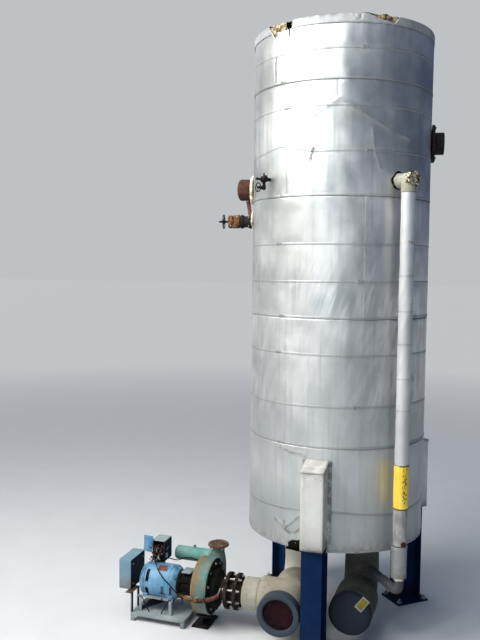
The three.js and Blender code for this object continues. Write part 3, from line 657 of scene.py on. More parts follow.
# The sticker's yellow, darkened as painted shade like the cap it sits on.
sticker_yellow_shaded = worn_paint(
    "sticker_yellow_shaded", (0.16, 0.135, 0.010), (0.20, 0.165, 0.022), (0.05, 0.04, 0.015), 0.66, 18.0, 0.7, 0.2)
marker_black = worn_paint(
    "marker_black", (0.012, 0.012, 0.014), (0.03, 0.03, 0.03), (0.10, 0.08, 0.05), 0.72, 18.0, 0.7, 0.2)
# The sticker's white, darkened as painted shade like the cap it sits on.
sticker_white_shaded = worn_paint(
    "sticker_white_shaded", (0.20, 0.215, 0.205), (0.27, 0.28, 0.265), (0.07, 0.065, 0.055), 0.66, 30.0, 0.7, 0.2)
lead_wire = worn_paint(
    "brown_lead", (0.10, 0.045, 0.025), (0.15, 0.08, 0.05), (0.02, 0.02, 0.02), 0.7, 50.0)

# Mastic and canvas: pale, tan and cracked tone, then grain.
header_mastic = mastic(
    "header_mastic", (0.39, 0.365, 0.305), (0.24, 0.215, 0.165), (0.09, 0.075, 0.06))
# The right drop leg's and header's mastic, darkened as painted shade.
mastic_shaded = mastic(
    "mastic_shaded", (0.105, 0.105, 0.088), (0.045, 0.045, 0.038), (0.02, 0.02, 0.018))
drop_canvas = mastic("drop_canvas", (0.80, 0.78, 0.68), (0.64, 0.60, 0.48), (0.24, 0.20, 0.14))
# The inlet's wrap, darkened as painted shade.
inlet_wrap_shaded = mastic(
    "inlet_wrap_shaded", (0.085, 0.085, 0.098), (0.040, 0.040, 0.048), (0.02, 0.02, 0.02), 16.0)
elbow_mastic = mastic(
    "elbow_mastic", (0.37, 0.365, 0.315), (0.27, 0.26, 0.20), (0.08, 0.07, 0.055), 16.0)
white_canvas = mastic(
    "white_canvas", (0.375, 0.365, 0.315), (0.25, 0.225, 0.17), (0.09, 0.075, 0.055), 12.0)


def on_jacket(directions, heights, radii):
    """Points on the jacket, from arrays of directions in degrees, heights and radii."""
    angles = np.radians(directions)
    x = AXIS.x + radii * np.sin(angles)
    y = AXIS.y - radii * np.cos(angles)
    return np.stack([x, y, heights + 0 * x], -1)


def flat(directions, heights):
    """Directions and heights as places on the unrolled jacket, in metres."""
    return np.stack([np.radians(directions) * JACKET_RADIUS, heights], -1)


def unrolled(outline):
    return flat(*np.array(outline, float).T)


def nearest(points, outline, closed=True):
    """For points in the plane, the nearest point of an outline and the distance to it."""
    corners = np.asarray(outline, float)
    ends = np.roll(corners, -1, 0) if closed else corners[1:]
    starts = corners if closed else corners[:-1]
    best = np.full(points.shape[:-1], 1e9)
    spot = np.zeros(points.shape)
    for a, b in zip(starts, ends):
        run = b - a
        share = np.clip(((points - a) @ run) / max(run @ run, 1e-12), 0, 1)
        found = a + share[..., None] * run
        gap = np.linalg.norm(points - found, axis=-1)
        closer = gap < best
        best = np.where(closer, gap, best)
        spot = np.where(closer[..., None], found, spot)
    return spot, best


def inside(points, outline):
    """Whether points in the plane lie inside an outline."""
    corners = np.asarray(outline, float)
    found = np.zeros(points.shape[:-1], bool)
    for (ax, ay), (bx, by) in zip(corners, np.roll(corners, -1, 0)):
        crosses = (ay > points[..., 1]) != (by > points[..., 1])
        rise = by - ay if abs(by - ay) > 1e-12 else 1e-12
        found ^= crosses & (points[..., 0] < ax + (points[..., 1] - ay) * (bx - ax) / rise)
    return found


def snapped(spot, tears, reach):
    """Grid points moved onto the tears' outlines where they are near, and how near each point is."""
    flare = np.zeros(spot.shape[:-1])
    for tear in tears:
        found, gap = nearest(spot, tear)
        spot = np.where((gap < SNAP)[..., None], found, spot)
        flare = flare + falling(gap, reach)
    return spot, flare


def untorn(spot, tears):
    """Middles of a round grid's cells, and which of them lie outside every tear."""
    centres = (spot[:-1, :-1] + spot[1:, :-1] + spot[:-1, 1:] + spot[1:, 1:]) / 4
    seam = (spot[:-1, -1:] + spot[1:, -1:]) / 2 + np.array([0.004, 0.0])
    centres = np.concatenate([centres, seam], 1)
    keep = np.ones(centres.shape[:2], bool)
    for tear in tears:
        keep &= ~inside(centres, tear)
    return centres, keep


def spread(lines, step=1.5, fine=(), fine_step=0.45):
    """Directions right round: even steps, exact lines, and finer steps in some spans."""
    columns = list(np.arange(-180, 180, step))
    for low, high in fine:
        columns = [c for c in columns if not low <= c <= high] + list(even(low, high, fine_step))
    for line in lines:
        line = off_from(line, 0)
        columns = [c for c in columns if abs(c - line) > 0.12] + [line]
    return np.array(sorted(columns))


# Half the angle of the slot that each leg takes in the jacket, and both edges of each slot.
LEG_SLOT = math.degrees(math.asin((LEG_HALF + 0.001) / JACKET_RADIUS))
LEG_EDGES = [leg + side * LEG_SLOT for leg in LEG_DIRECTIONS.values() for side in (-1, 1)]


def at_leg(directions):
    return np.any([np.abs(off_from(directions, leg)) < LEG_SLOT for leg in LEG_DIRECTIONS.values()], 0)


STRAPS = []
for seam, bands in zip(COURSE_SEAMS, COURSE_BANDS):
    STRAPS.append(JACKET_BOTTOM + seam + BAND_WIDTH / 2)
    STRAPS.extend(JACKET_BOTTOM + band for band in bands)
HEM_STRAP = 0.8


def strap_height(directions, nominal):
    for height, line in STRAP_WAVES.items():
        if abs(height - nominal) < 1e-6:
            return np.interp(directions, *zip(*line), period=360)
    phase = nominal * 7.0
    angles = np.radians(directions)
    return nominal + 0.0022 * np.sin(angles + phase) + 0.0012 * np.sin(3 * angles + phase)


# Upright flutes in the sheets are this much longer than wide.
FLUTED = np.array([1.0, 1.0, 0.13])
# Dents: direction, height, size and depth.
random = np.random.default_rng(11)
DENT_RANGES = ((-180, 180), (0.9, 4.4), (0.04, 0.13), (0.0006, 0.0022))
DENTS = [tuple(random.uniform(low, high) for low, high in DENT_RANGES) for _ in range(46)]


def skin(directions, heights):
    """The jacket's radius: slow waves, ribs at the front, a waist under each strap, dents and creases."""
    around = on_jacket(directions, heights, JACKET_RADIUS)
    radius = JACKET_RADIUS - 0.0004 + 0.0008 * waves(around, 0.45, 21) + 0.00040 * waves(around, 0.12, 22)
    radius = radius + 0.0009 * waves(around * FLUTED, 0.075, 24) + 0.0009 * waves(around * FLUTED, 0.17, 25)
    arc = np.radians(directions) * JACKET_RADIUS
    slant = np.stack([arc + 0.30 * heights, 0 * heights, 0.13 * heights], -1)
    ribbed = hump(arc - 0.28, 0.24) * fade(heights, 3.75, 3.45) * fade(heights, 2.0, 2.5)
    radius = radius + 0.0010 * ribbed * waves(slant, 0.055, 26)
    ripple = 0.0006 * waves(around, 0.05, 23)
    for nominal in STRAPS:
        away = heights - strap_height(directions, nominal)
        radius = radius - 0.0009 * hump(away, 0.022) + ripple * hump(away, 0.05)
    spot = flat(directions, heights)
    for direction, height, size, depth in DENTS:
        centre = flat(np.array(direction), np.array(height))
        radius = radius - depth * hump(np.linalg.norm(spot - centre, axis=-1), size)
    for line, ridge, width in CREASES:
        _, gap = nearest(spot, unrolled(line), closed=False)
        radius = radius + 1.5 * ridge * falling(gap, width)
    return np.clip(radius, JACKET_RADIUS - 0.006, JACKET_RADIUS + 0.0036)


def stain_on(directions, heights):
    """Brown run-off under the left valve, thinner runs under the level pipe's tee and the gauge valve."""
    drop = fade(heights, 3.22, 3.14) * fade(heights, 2.45, 2.95)
    left = hump(directions + 72, 7 + 9 * fade(heights, 3.2, 2.2)) * drop
    elbow = hump(directions - 43.5, 2.6) * (heights < 3.44) * fade(heights, 3.05, 3.40)
    gauge = hump(directions - GAUGE_VALVE[0], 1.6) * (heights < 3.42) * fade(heights, 3.1, 3.4)
    return np.clip(left + 0.6 * elbow + 0.2 * gauge, 0, 1)


def grime_on(directions, heights, laps):
    """Dark marks: painted shadow under the straps, painted shade along the creases, dirt along the laps and
    at the hem.
    """
    dirt_and_shade = falling(heights - JACKET_BOTTOM, 0.05)
    # Painted shadow: a dark line under each strap.
    for nominal in STRAPS:
        below = strap_height(directions, nominal) - BAND_WIDTH / 2 - heights
        shade = 0.75 if nominal > 3.2 else 0.42
        dirt_and_shade = dirt_and_shade + shade * np.where(below > -BAND_WIDTH, falling(np.abs(below), 0.010), 0)
    for lap in laps:
        gap = np.radians(np.abs(off_from(directions, lap))) * JACKET_RADIUS
        dirt_and_shade = dirt_and_shade + 0.9 * falling(gap, 0.006)
    # Painted shade along the creases.
    for line, ridge, _ in CREASES:
        _, gap = nearest(flat(directions, heights), unrolled(line), closed=False)
        dirt_and_shade = dirt_and_shade + 700 * abs(ridge) * hump(gap, 0.007)
    return np.clip(dirt_and_shade, 0, 1)


def add_course(number):
    """One course of the jacket: a sheet with lap seams, windows at the legs, tears and a hem."""
    bottom = JACKET_BOTTOM + COURSE_SEAMS[number]
    top = JACKET_BOTTOM + COURSE_SEAMS[number + 1]
    lines = [lap + off for lap in LAPS[number] for off in (-0.35, -0.05, 0.05, 0.5, 2.6)]
    rows = even(bottom, top, 0.0145)
    fine = []
    tears = []
    if number == 0:
        tears = [unrolled(HEM_HOLE)]
        fine = [(-30, -6.6)]
        rows = np.concatenate([even(bottom, 1.010, 0.006)[:-1], even(1.010, top, 0.0145)])
        lines += LEG_EDGES
    if number == 3:
        fine = [(-14, 62)]
        rows = even(bottom, top, 0.009)
    if number == 4:
        tears = [unrolled([(d, JACKET_TOP + h) for d, h in tear]) for tear in RIM_TEARS]
        fine = TORN
        rows = np.concatenate([even(bottom, 4.41, 0.0110)[:-1], even(4.41, top, 0.006)])
    directions, heights = np.meshgrid(spread(lines, 1.5, fine), rows)
    spot, flare = snapped(flat(directions, heights), tears, 0.010)
    directions = np.degrees(spot[..., 0] / JACKET_RADIUS)
    heights = spot[..., 1]
    around = on_jacket(directions, heights, JACKET_RADIUS)
    radius = skin(directions, heights)
    radius = radius + 0.0016 * falling(heights - bottom, 0.020) - 0.0012 * falling(top - heights, 0.020)
    for lap in LAPS[number]:
        off = off_from(directions, lap)
        radius = radius + np.where((off > 0) & (off < 3), 0.0016 * (1 - off / 3), 0)
        radius = radius + 0.0008 * waves(around, 0.06, 31) * falling(np.abs(off), 1.4)
    radius = radius + flare * 0.004 * (0.4 + waves(around, 0.05, 33))
    centres, keep = untorn(spot, tears)
    if number == 0:
        hem = falling(heights - bottom, 0.035)
        radius = radius + 0.0025 * hem * waves(around, 0.10, 34)
        heights = heights + 0.004 * hem * (1 + waves(around, 0.22, 35))
        keep &= ~(at_leg(np.degrees(centres[..., 0] / JACKET_RADIUS)) & (centres[..., 1] < LEG_TOP))
    form = Form()
    form.grid(
        on_jacket(directions, heights, np.minimum(radius, SHEET_LIMIT)),
        around=True,
        keep=keep,
        grime=grime_on(directions, heights, LAPS[number]),
        stain=stain_on(directions, heights),
    )
    node = f"jacket_course_{number + 1}"
    form.piece(f"jacket_sheet_{number + 1}", [aluminium], [node], angle=50, thick=SHEET)


for number in range(5):
    add_course(number)


def jacket_place(direction, height, proud=0.0):
    """A place on the jacket's skin, Z outward."""
    radius = float(skin(np.array(float(direction)), np.array(float(height))))
    return facing(direction, height, radius + proud)


def add_rivets():
    """Rivets down the laps, round the roof's skirt and along the hem between the legs."""
    form = Form()
    for low, high, laps in zip(COURSE_SEAMS, COURSE_SEAMS[1:], LAPS):
        for lap in laps:
            for height in even(JACKET_BOTTOM + low + 0.05, JACKET_BOTTOM + high - 0.04, 0.085):
                form.rivet(jacket_place(lap + 1.1, height, 0.0012))
    for direction in even(-180, 175, 12.0):
        form.rivet(facing(direction, JACKET_TOP - 0.052, ROOF_RADIUS), 0.0034)
    for direction in even(-176, 170, 20.0):
        if min(abs(off_from(direction, leg)) for leg in LEG_DIRECTIONS.values()) > 9:
            form.rivet(jacket_place(direction, JACKET_BOTTOM + 0.035, 0.001))
    form.piece("jacket_rivets", [strap_metal])


def add_straps():
    """Flat straps round the jacket, with two seal clips on each and gaps at the legs, and a hook of wire."""
    form = Form()
    clips = Form()
    random = np.random.default_rng(5)
    half = BAND_WIDTH / 2
    section = [(-half, -0.001), (-half, 0.0009), (-half + 0.001, 0.0013), (0, 0.0015),
               (half - 0.001, 0.0013), (half, 0.0009), (half, -0.001)]
    hole_start, hole_end = HEM_HOLE[1][0], HEM_HOLE[-1][0]
    for number, nominal in enumerate(STRAPS):
        at_hem = nominal < HEM_STRAP
        columns = spread(LEG_EDGES + ([hole_start, hole_end] if at_hem else []))
        middle = strap_height(columns, nominal)
        base = np.max([skin(columns, middle + rise) for rise in (-0.008, 0.0, 0.008)], 0)
        at_seam = any(abs(nominal - JACKET_BOTTOM - seam - half) < 1e-6 for seam in COURSE_SEAMS)
        base = np.minimum(base + (0.0015 if at_seam else 0.0003), STRAP_LIMIT)
        rows = [on_jacket(columns, middle + rise, base + proud) for rise, proud in section]
        keep = None
        if nominal < LEG_TOP:
            turn = (columns + np.roll(columns, -1)) / 2
            turn[-1] = 180
            gone = at_leg(turn) | (at_hem & (turn > hole_start) & (turn < hole_end))
            keep = np.repeat(~gone[None, :], len(section) - 1, 0)
        form.grid(rows, around=True, keep=keep)
        where = random.uniform(-30, -22) if number % 3 else random.uniform(20, 26)
        for spot in (where, where + 172):
            place = jacket_place(spot, float(strap_height(np.array(spot), nominal)), 0.0022)
            clips.block((0.026, 0.021, 0.0026), place, 0.0006)
            tail = place @ shift(0.026, 0.001, 0.0012) @ turned(2.865, "Y")
            clips.block((0.030, 0.015, 0.0010), tail, 0.0003)
    hook = [(-4.4, 3.632), (-5.6, 3.646), (-6.4, 3.636), (-6.8, 3.610), (-7.6, 3.585), (-7.8, 3.560),
            (-7.2, 3.548)]
    for start in (0, 2):
        wire = [jacket_place(d + 0.5 * start, h + 0.006 * start, 0.006).translation for d, h in hook[start:]]
        clips.sweep(smooth_path(wire, 5), 0.0017, 8, 1)
    form.piece("strap_bands", [strap_metal], angle=60)
    clips.piece("strap_clips", [clip_metal, dark_iron])


add_rivets()
add_straps()


def roof_point(reach, sink=0.0):
    """Radius and height on the skirt where the reach is below 0, on the cone where it is above."""
    up = np.maximum(reach, 0)
    rounding = 0.004 * hump(reach, 0.006)
    radius = ROOF_RADIUS - up * math.cos(ROOF_LEAN) - sink - rounding * 0.6
    heights = JACKET_TOP - 0.0015 + np.minimum(reach, 0) + up * math.sin(ROOF_LEAN) - sink * (reach > 0)
    return radius, heights - rounding * 0.8


def add_roof():
    """Roof sheet with a skirt, torn at the rim, its gores' laps, rivets and a cap."""
    gores = [15 + 30 * k for k in range(-6, 6)]
    lines = [gore + off for gore in gores for off in (-0.15, 0.15, 1.2)]
    steps = [0.08, 0.11, 0.15, 0.2, 0.27, 0.35, 0.44, 0.53, 0.61, 0.66, 0.687]
    rows = np.concatenate([even(-ROOF_SKIRT, 0.06, 0.006), steps])
    directions, reach = np.meshgrid(spread(lines, 1.5, [TORN[0], (14, 47)]), rows)
    tears = [unrolled(tear) for tear in RIM_TEARS]
    spot, flare = snapped(flat(directions, reach), tears, 0.014)
    directions = np.degrees(spot[..., 0] / JACKET_RADIUS)
    reach = spot[..., 1]
    radius, heights = roof_point(reach)
    around = on_jacket(directions, heights, radius)
    inward = fade(reach, 0, 0.05)
    dent = 0.0035 * waves(around, 0.30, 41) + 0.0012 * waves(around, 0.08, 42)
    heights = heights + inward * fade(reach, 0.8, 0) * dent + flare * 0.007 * waves(around, 0.06, 46)
    radius = radius + (1 - inward) * np.clip(0.0009 * waves(around, 0.09, 43), -0.002, 0.0013)
    crinkled = hump(directions - 19, 3.0) * (reach < 0)
    radius = radius - 0.004 * crinkled * np.abs(waves(around, 0.02, 44))
    radius = radius + flare * np.clip(0.006 * waves(around, 0.05, 45), -0.008, 0.0012)
    for gore in gores:
        off = off_from(directions, gore)
        heights = heights + np.where((off > 0) & (off < 1.4), 0.0016 * inward, 0)
    _, keep = untorn(spot, tears)
    grime = np.clip(falling(np.abs(reach), 0.02) + 0.7 * falling(reach + ROOF_SKIRT, 0.012), 0, 1)
    form = Form()
    points = on_jacket(directions, heights, np.minimum(radius, SKIRT_LIMIT))
    form.grid(points, around=True, keep=keep, grime=grime)
    form.piece("roof_cover", [dull_sheet], ["roof_sheet"], angle=45, thick=SHEET)
    seams = Form()
    for gore in gores:
        for up in even(0.05, 0.62, 0.075):
            radius, height = roof_point(up)
            lean = turned(math.degrees(ROOF_LEAN) - 90, "X")
            seams.rivet(facing(gore + 0.6, float(height) + 0.003, float(radius)) @ lean, 0.0034)
    cap = standing(0, 0, JACKET_TOP + ROOF_RISE - 0.010)
    seams.lathe([(0, 0), (0.060, 0), (0.060, 0.002), (0.020, 0.0075), (0, 0.0085)], cap, 24)
    seams.piece("roof_rivets_and_cap", [dull_sheet])


def add_top_foam():
    """Foam under the roof, lumpy where the tears show it, with a slit behind the narrow tear, pushed in and
    painted near-black as shade.
    """
    columns = spread([], 2.0, [TORN[0], (18, 48)], 0.6)
    steps = [0.1, 0.2, 0.35, 0.5, 0.68]
    rows = np.concatenate([even(-0.36, -0.15, 0.03), even(-0.14, 0.06, 0.008), steps])
    directions, reach = np.meshgrid(columns, rows)
    radius, heights = roof_point(reach, 0.011)
    deep = inside(flat(directions, reach), unrolled(SLIT))
    around = on_jacket(directions, heights, radius)
    lumps = 0.0028 * waves(around, 0.045, 51) + 0.0020 * waves(around, 0.014, 52)
    bulge = 0.010 * hump(directions - 37, 5.5) * fade(reach, -0.05, 0)
    hidden = reach < -0.14
    radius = radius + np.where(deep, -0.045, np.minimum(lumps, np.where(hidden, 0.0005, 0.003)))
    radius = np.where(hidden, np.minimum(radius, 0.6785), radius)
    heights = heights + np.where((reach > -0.01) & ~deep, bulge + lumps, 0)
    # Painted shade: the slit's cells take the near-black finish.
    dark = deep[:-1, :-1] | deep[1:, :-1] | deep[:-1, 1:] | deep[1:, 1:]
    dark = np.concatenate([dark, np.zeros((dark.shape[0], 1), bool)], 1)
    points = on_jacket(directions, heights, radius)
    form = Form()
    form.grid(points, around=True, keep=~dark)
    form.grid(points, around=True, keep=dark, finish=1)
    form.piece("top_foam", [foam, shade_and_black], ["top_insulation"], angle=70)


def add_body_foam():
    """Foam round the shell and the bottom head, a little inside the jacket and cut back behind the legs."""
    columns = spread([edge + side for edge in LEG_EDGES for side in (-0.05, 0.05)], 3.0)
    behind = at_leg(columns)
    head_seam, head_depth = 1.1345, 0.3056
    levels = np.concatenate([even(1.1353, LEG_TOP, 0.03), even(LEG_TOP + 0.001, 4.1947, 0.05)])
    outer = on_jacket(*np.meshgrid(columns, levels), FOAM_RADIUS)
    reach = FOAM_RADIUS + 0.0016 * waves(outer, 0.06, 53)
    reach = np.where(behind[None, :] & (levels[:, None] <= LEG_TOP), SHELL_RADIUS + 0.0015, reach)
    rows = [on_jacket(columns, level, row) for level, row in zip(levels, reach)]
    rows += [on_jacket(columns, level, SHELL_RADIUS + 0.0005) for level in levels[::-1]]
    side = Form()
    side.grid(rows, around=True, over=True)
    side.piece("side_foam", [foam], ["side_insulation"], angle=70)
    bowl = [(radius, 0.7536) for radius in (0.0, 0.25, 0.50, SHELL_RADIUS - 0.002, FOAM_RADIUS)]
    bowl += [(FOAM_RADIUS, level) for level in even(0.78, head_seam, 0.03)]
    turns = np.linspace(0, math.pi / 2, 12)
    bowl += [((SHELL_RADIUS + 0.0005) * math.cos(t), head_seam - head_depth * math.sin(t)) for t in turns]
    bowl[-1] = (0.0, bowl[-1][1])
    rows = []
    for radius, level in bowl:
        reach = np.where(behind, min(radius, SHELL_RADIUS - 0.0012), radius)
        rows.append(on_jacket(columns, level, reach))
    bottom = Form()
    bottom.grid(rows, around=True)
    bottom.piece("bottom_foam", [foam], ["bottom_insulation"], angle=70)


def add_hem_shade():
    """A near-black sheet behind the hole at the hem, painted shade for the void."""
    middle = np.mean(HEM_HOLE, 0)
    wide = middle + 1.25 * (np.array(HEM_HOLE) - middle)
    points = [polar(direction, 0.6836, height) for direction, height in (*wide, middle)]
    count = len(wide)
    form = Form()
    form.add(points, [(i, (i + 1) % count, count) for i in range(count)])
    form.piece("hem_painted_shade", [shade_and_black], thick=0.0004)


add_roof()
add_top_foam()
add_body_foam()
add_hem_shade()


def add_leg(side, direction):
    """Rolled beam with root fillets, its foot plate with anchor nuts, and weld beads between them."""
    place = facing(direction, 0.0)
    flange, web, fillet = 0.012, 0.004, 0.010
    back = LEG_FACE + LEG_DEPTH
    inner, outer = LEG_FACE + flange, back - flange
    # The outline lies in the place's X and Z; the beam rises along its Y.
    bends = [(1 - math.cos(a), 1 - math.sin(a)) for a in np.linspace(0, math.pi / 2, 5)]
    right = [(LEG_HALF, LEG_FACE), (LEG_HALF, inner)]
    right += [(web + fillet * x, inner + fillet * z) for x, z in reversed(bends)]
    right += [(web + fillet * x, outer - fillet * z) for x, z in bends]
    right += [(LEG_HALF, outer), (LEG_HALF, back)]
    outline = right + [(-x, z) for x, z in reversed(right)]
    levels = np.linspace(0.0163, LEG_TOP, 14)
    rows = [[place @ Vector((x, level, z)) for x, z in reversed(outline)] for level in levels]
    form = Form()
    form.grid(rows, around=True, grime=np.repeat(falling(levels - 0.016, 0.05), len(outline)))
    form.add(rows[-1], [tuple(range(len(outline)))])
    form.piece(f"{side}_beam", [leg_paint_and_shade], [f"{side}_leg"], angle=30)
    plate = Form()
    thickness = 0.016
    lay = place @ shift(0, thickness / 2, LEG_FACE + LEG_DEPTH / 2) @ turned(-90, "X")
    plate.block((0.250, 0.300, thickness), lay, 0.0025)
    for x in (-0.098, 0.098):
        for reach in (-0.122, 0.122):
            nut = lay @ shift(x, reach, thickness / 2)
            plate.bolt(nut, 0.017, 1)
            plate.lathe([(0, 0), (0.009, 0), (0.009, 0.030), (0.007, 0.032), (0, 0.032)], nut, 12, 1)
    root = 0.006
    bead = [(LEG_HALF, LEG_FACE), (LEG_HALF, inner), (root, inner)]
    bead += [(root, outer), (LEG_HALF, outer), (LEG_HALF, back)]
    for sign in (1, -1):
        line = [place @ Vector((sign * x * 1.02, 0.018, z)) for x, z in bead]
        fine = [a.lerp(b, k / 6) for a, b in zip(line, line[1:]) for k in range(6)]
        plate.sweep(fine + [line[-1]], 0.005, 8, 0, (0.02, 0.0012, 61))
    plate.piece(f"{side}_foot", [leg_paint_and_shade, bare_steel], [f"{side}_foot_plate"])


def cover_lid(reach):
    """Height of a cover's sloping lid at a distance from the tank's axis."""
    return COVER_FRONT_TOP + COVER_SLOPE * (COVER_REACH - reach)


def add_cover(side, direction):
    """Boxed sheet hood over the beam, with a flange against the jacket and a lid with a lip."""
    place = facing(direction, 0.0)
    seed = abs(direction) + 3
    # Each side runs from the flange to the front corner, as (how far out, distance from the axis).
    edge = [(0.024, COVER_BACK), (0.004, COVER_BACK + 0.0008), (0.0, COVER_BACK + 0.004)]
    edge += [(0.0, z) for z in even(COVER_BACK + 0.03, COVER_REACH - 0.01, 0.018)]
    edge += [(-0.002, COVER_REACH - 0.003), (-0.006, COVER_REACH)]
    plan = [(COVER_LEFT - out, z) for out, z in edge]
    plan += [(x, COVER_REACH) for x in even(COVER_LEFT + 0.02, COVER_RIGHT - 0.02, 0.018)]
    plan += [(COVER_RIGHT + out, z) for out, z in reversed(edge)]
    rows = []
    grime = []
    for share in np.linspace(0, 1, 30):
        row = []
        for x, z in plan:
            # The flange follows the jacket's curve.
            if abs(x) > 0.078 and z < 0.70:
                z = max(z, math.sqrt(COVER_BACK**2 - x * x))
            level = COVER_BOTTOM + share * (cover_lid(z) - COVER_BOTTOM)
            row.append(place @ Vector((x, level, z)))
            # Darker at the bottom edge, just under the lid and on the flanges; painted shade darkens the
            # right side.
            dirt_and_shade = 0.10 + falling(level - COVER_BOTTOM, 0.04) + 0.8 * falling(cover_lid(z) - level, 0.02)
            grime.append(dirt_and_shade + 0.4 * (z < 0.71) + 0.4 * (x > COVER_RIGHT - 0.001))
        rows.append(row)
    rows = np.array(rows)
    crumpled = hump(rows[..., 2] - COVER_FRONT_TOP + 0.02, 0.06)
    push = 0.0022 * waves(rows, 0.16, seed) + 0.0016 * waves(rows * FLUTED, 0.045, seed + 2)
    push = np.minimum(push + 0.0022 * crumpled * waves(rows, 0.035, seed + 3), 0.004)
    rows += push[..., None] * np.array(place.to_3x3() @ Vector((0.5, 0, 0.8)))
    form = Form()
    form.grid(rows, grime=np.clip(grime, 0, 1))
    across = even(COVER_LEFT - 0.001, COVER_RIGHT + 0.001, 0.02)
    eave = COVER_REACH + 0.004
    top = [[place @ Vector((x, cover_lid(z) + 0.0012, z)) for x in across] for z in even(0.680, eave, 0.02)]
    top = np.array(top)
    top[..., 2] += 0.0015 * waves(top, 0.10, seed + 1)
    # Painted shade: the lid takes a flat grime mark that darkens it.
    form.grid(top[::-1], grime=np.full(top.shape[:2], 0.45))
    levels = (cover_lid(eave) - 0.010, cover_lid(eave))
    lip = [[place @ Vector((x, level, eave - 0.0005)) for x in across] for level in levels]
    form.grid(lip, grime=np.full((2, len(across)), 0.5))
    form.piece(f"{side}_hood", [cover_paint], [f"{side}_leg_cover"], angle=40, thick=0.0014)
    studs = Form()
    for x, level in ((0.03, 1.33), (-0.05, 1.325), (0.065, 1.322), (-0.055, 0.83), (0.06, 0.83)):
        studs.rivet(place @ shift(x, level, COVER_REACH + 0.0005), 0.0042)
    for x in (COVER_LEFT - 0.015, COVER_RIGHT + 0.015):
        for level in even(0.84, 1.40, 0.11):
            studs.rivet(place @ shift(x, level, COVER_BACK + 0.001), 0.0036)
    studs.piece(f"{side}_hood_rivets", [bare_steel])


for side, direction in LEG_DIRECTIONS.items():
    add_leg(side, direction)
    add_cover(side, direction)


def add_nozzles():
    """Two 6 inch stubs: the left one has a dished cap and a foam collar, the right one a ring plate."""
    place = facing(*UPPER_STUB)
    left = Form()
    stub = [(0.084, 0.612), (0.084, 0.770), (0.0848, 0.774), (0.0848, 0.782), (0.084, 0.786)]
    turns = np.linspace(0, math.pi / 2, 9)[:-1]
    stub += [(0.084 * math.cos(a), 0.790 + 0.0315 * math.sin(a)) for a in turns] + [(0, 0.8215)]
    left.lathe(stub, place, 48, 0, (0.05, 0.0007, 71))
    left.ring(place @ shift(0, 0, 0.778), 0.0835, 0.0032, 48)
    left.piece("upper_stub", [rust], ["upper_nozzle"], angle=40)
    collar = Form()
    profile = [(0.0845, 0.689), (0.112, 0.689), (0.114, 0.696), (0.110, 0.706), (0.098, 0.7115)]
    collar.lathe(profile + [(0.0845, 0.7115)], place, 72, 0, (0.022, 0.0045, 72))
    collar.piece("upper_stub_collar", [cream_foam], ["upper_nozzle_collar"], angle=70)
    place = facing(*RIGHT_STUB)
    right = Form()
    right.lathe([(0.084, 0.612), (0.084, 0.7755), (0.080, 0.779), (0, 0.779)], place, 48)
    face = 0.7085
    plate = [(0.085, 0.6885), (0.143, 0.6885), (0.143, face - 0.003), (0.140, face), (0.085, face)]
    right.lathe(plate, place, 56)
    right.ring(place @ shift(0, 0, face), 0.087, 0.0045, 48)
    right.bolts(ring_of(place, 8, 0.122, 22.5, face), 0.009)
    right.piece("right_stub", [dark_iron], ["right_nozzle"], angle=35)


def spoked_wheel(form, place, rim, bar, hub, spokes, dish):
    """A handwheel about a place's Z: round rim, raised hub and slim spokes."""
    form.ring(place, rim, bar, 48)
    boss = [(0, -hub * 0.7), (hub, -hub * 0.7), (hub, hub * 0.5), (hub * 0.8, hub * 0.7), (0, hub * 0.7)]
    form.lathe(boss, place @ shift(0, 0, dish), 20)
    for k in range(spokes):
        angle = 2 * math.pi * k / spokes + 0.4
        away = Vector((math.cos(angle), math.sin(angle), 0))
        start = place @ (away * hub * 0.8 + Vector((0, 0, dish)))
        form.sweep(between(start, place @ (away * rim), 6), bar * 0.72, 10)


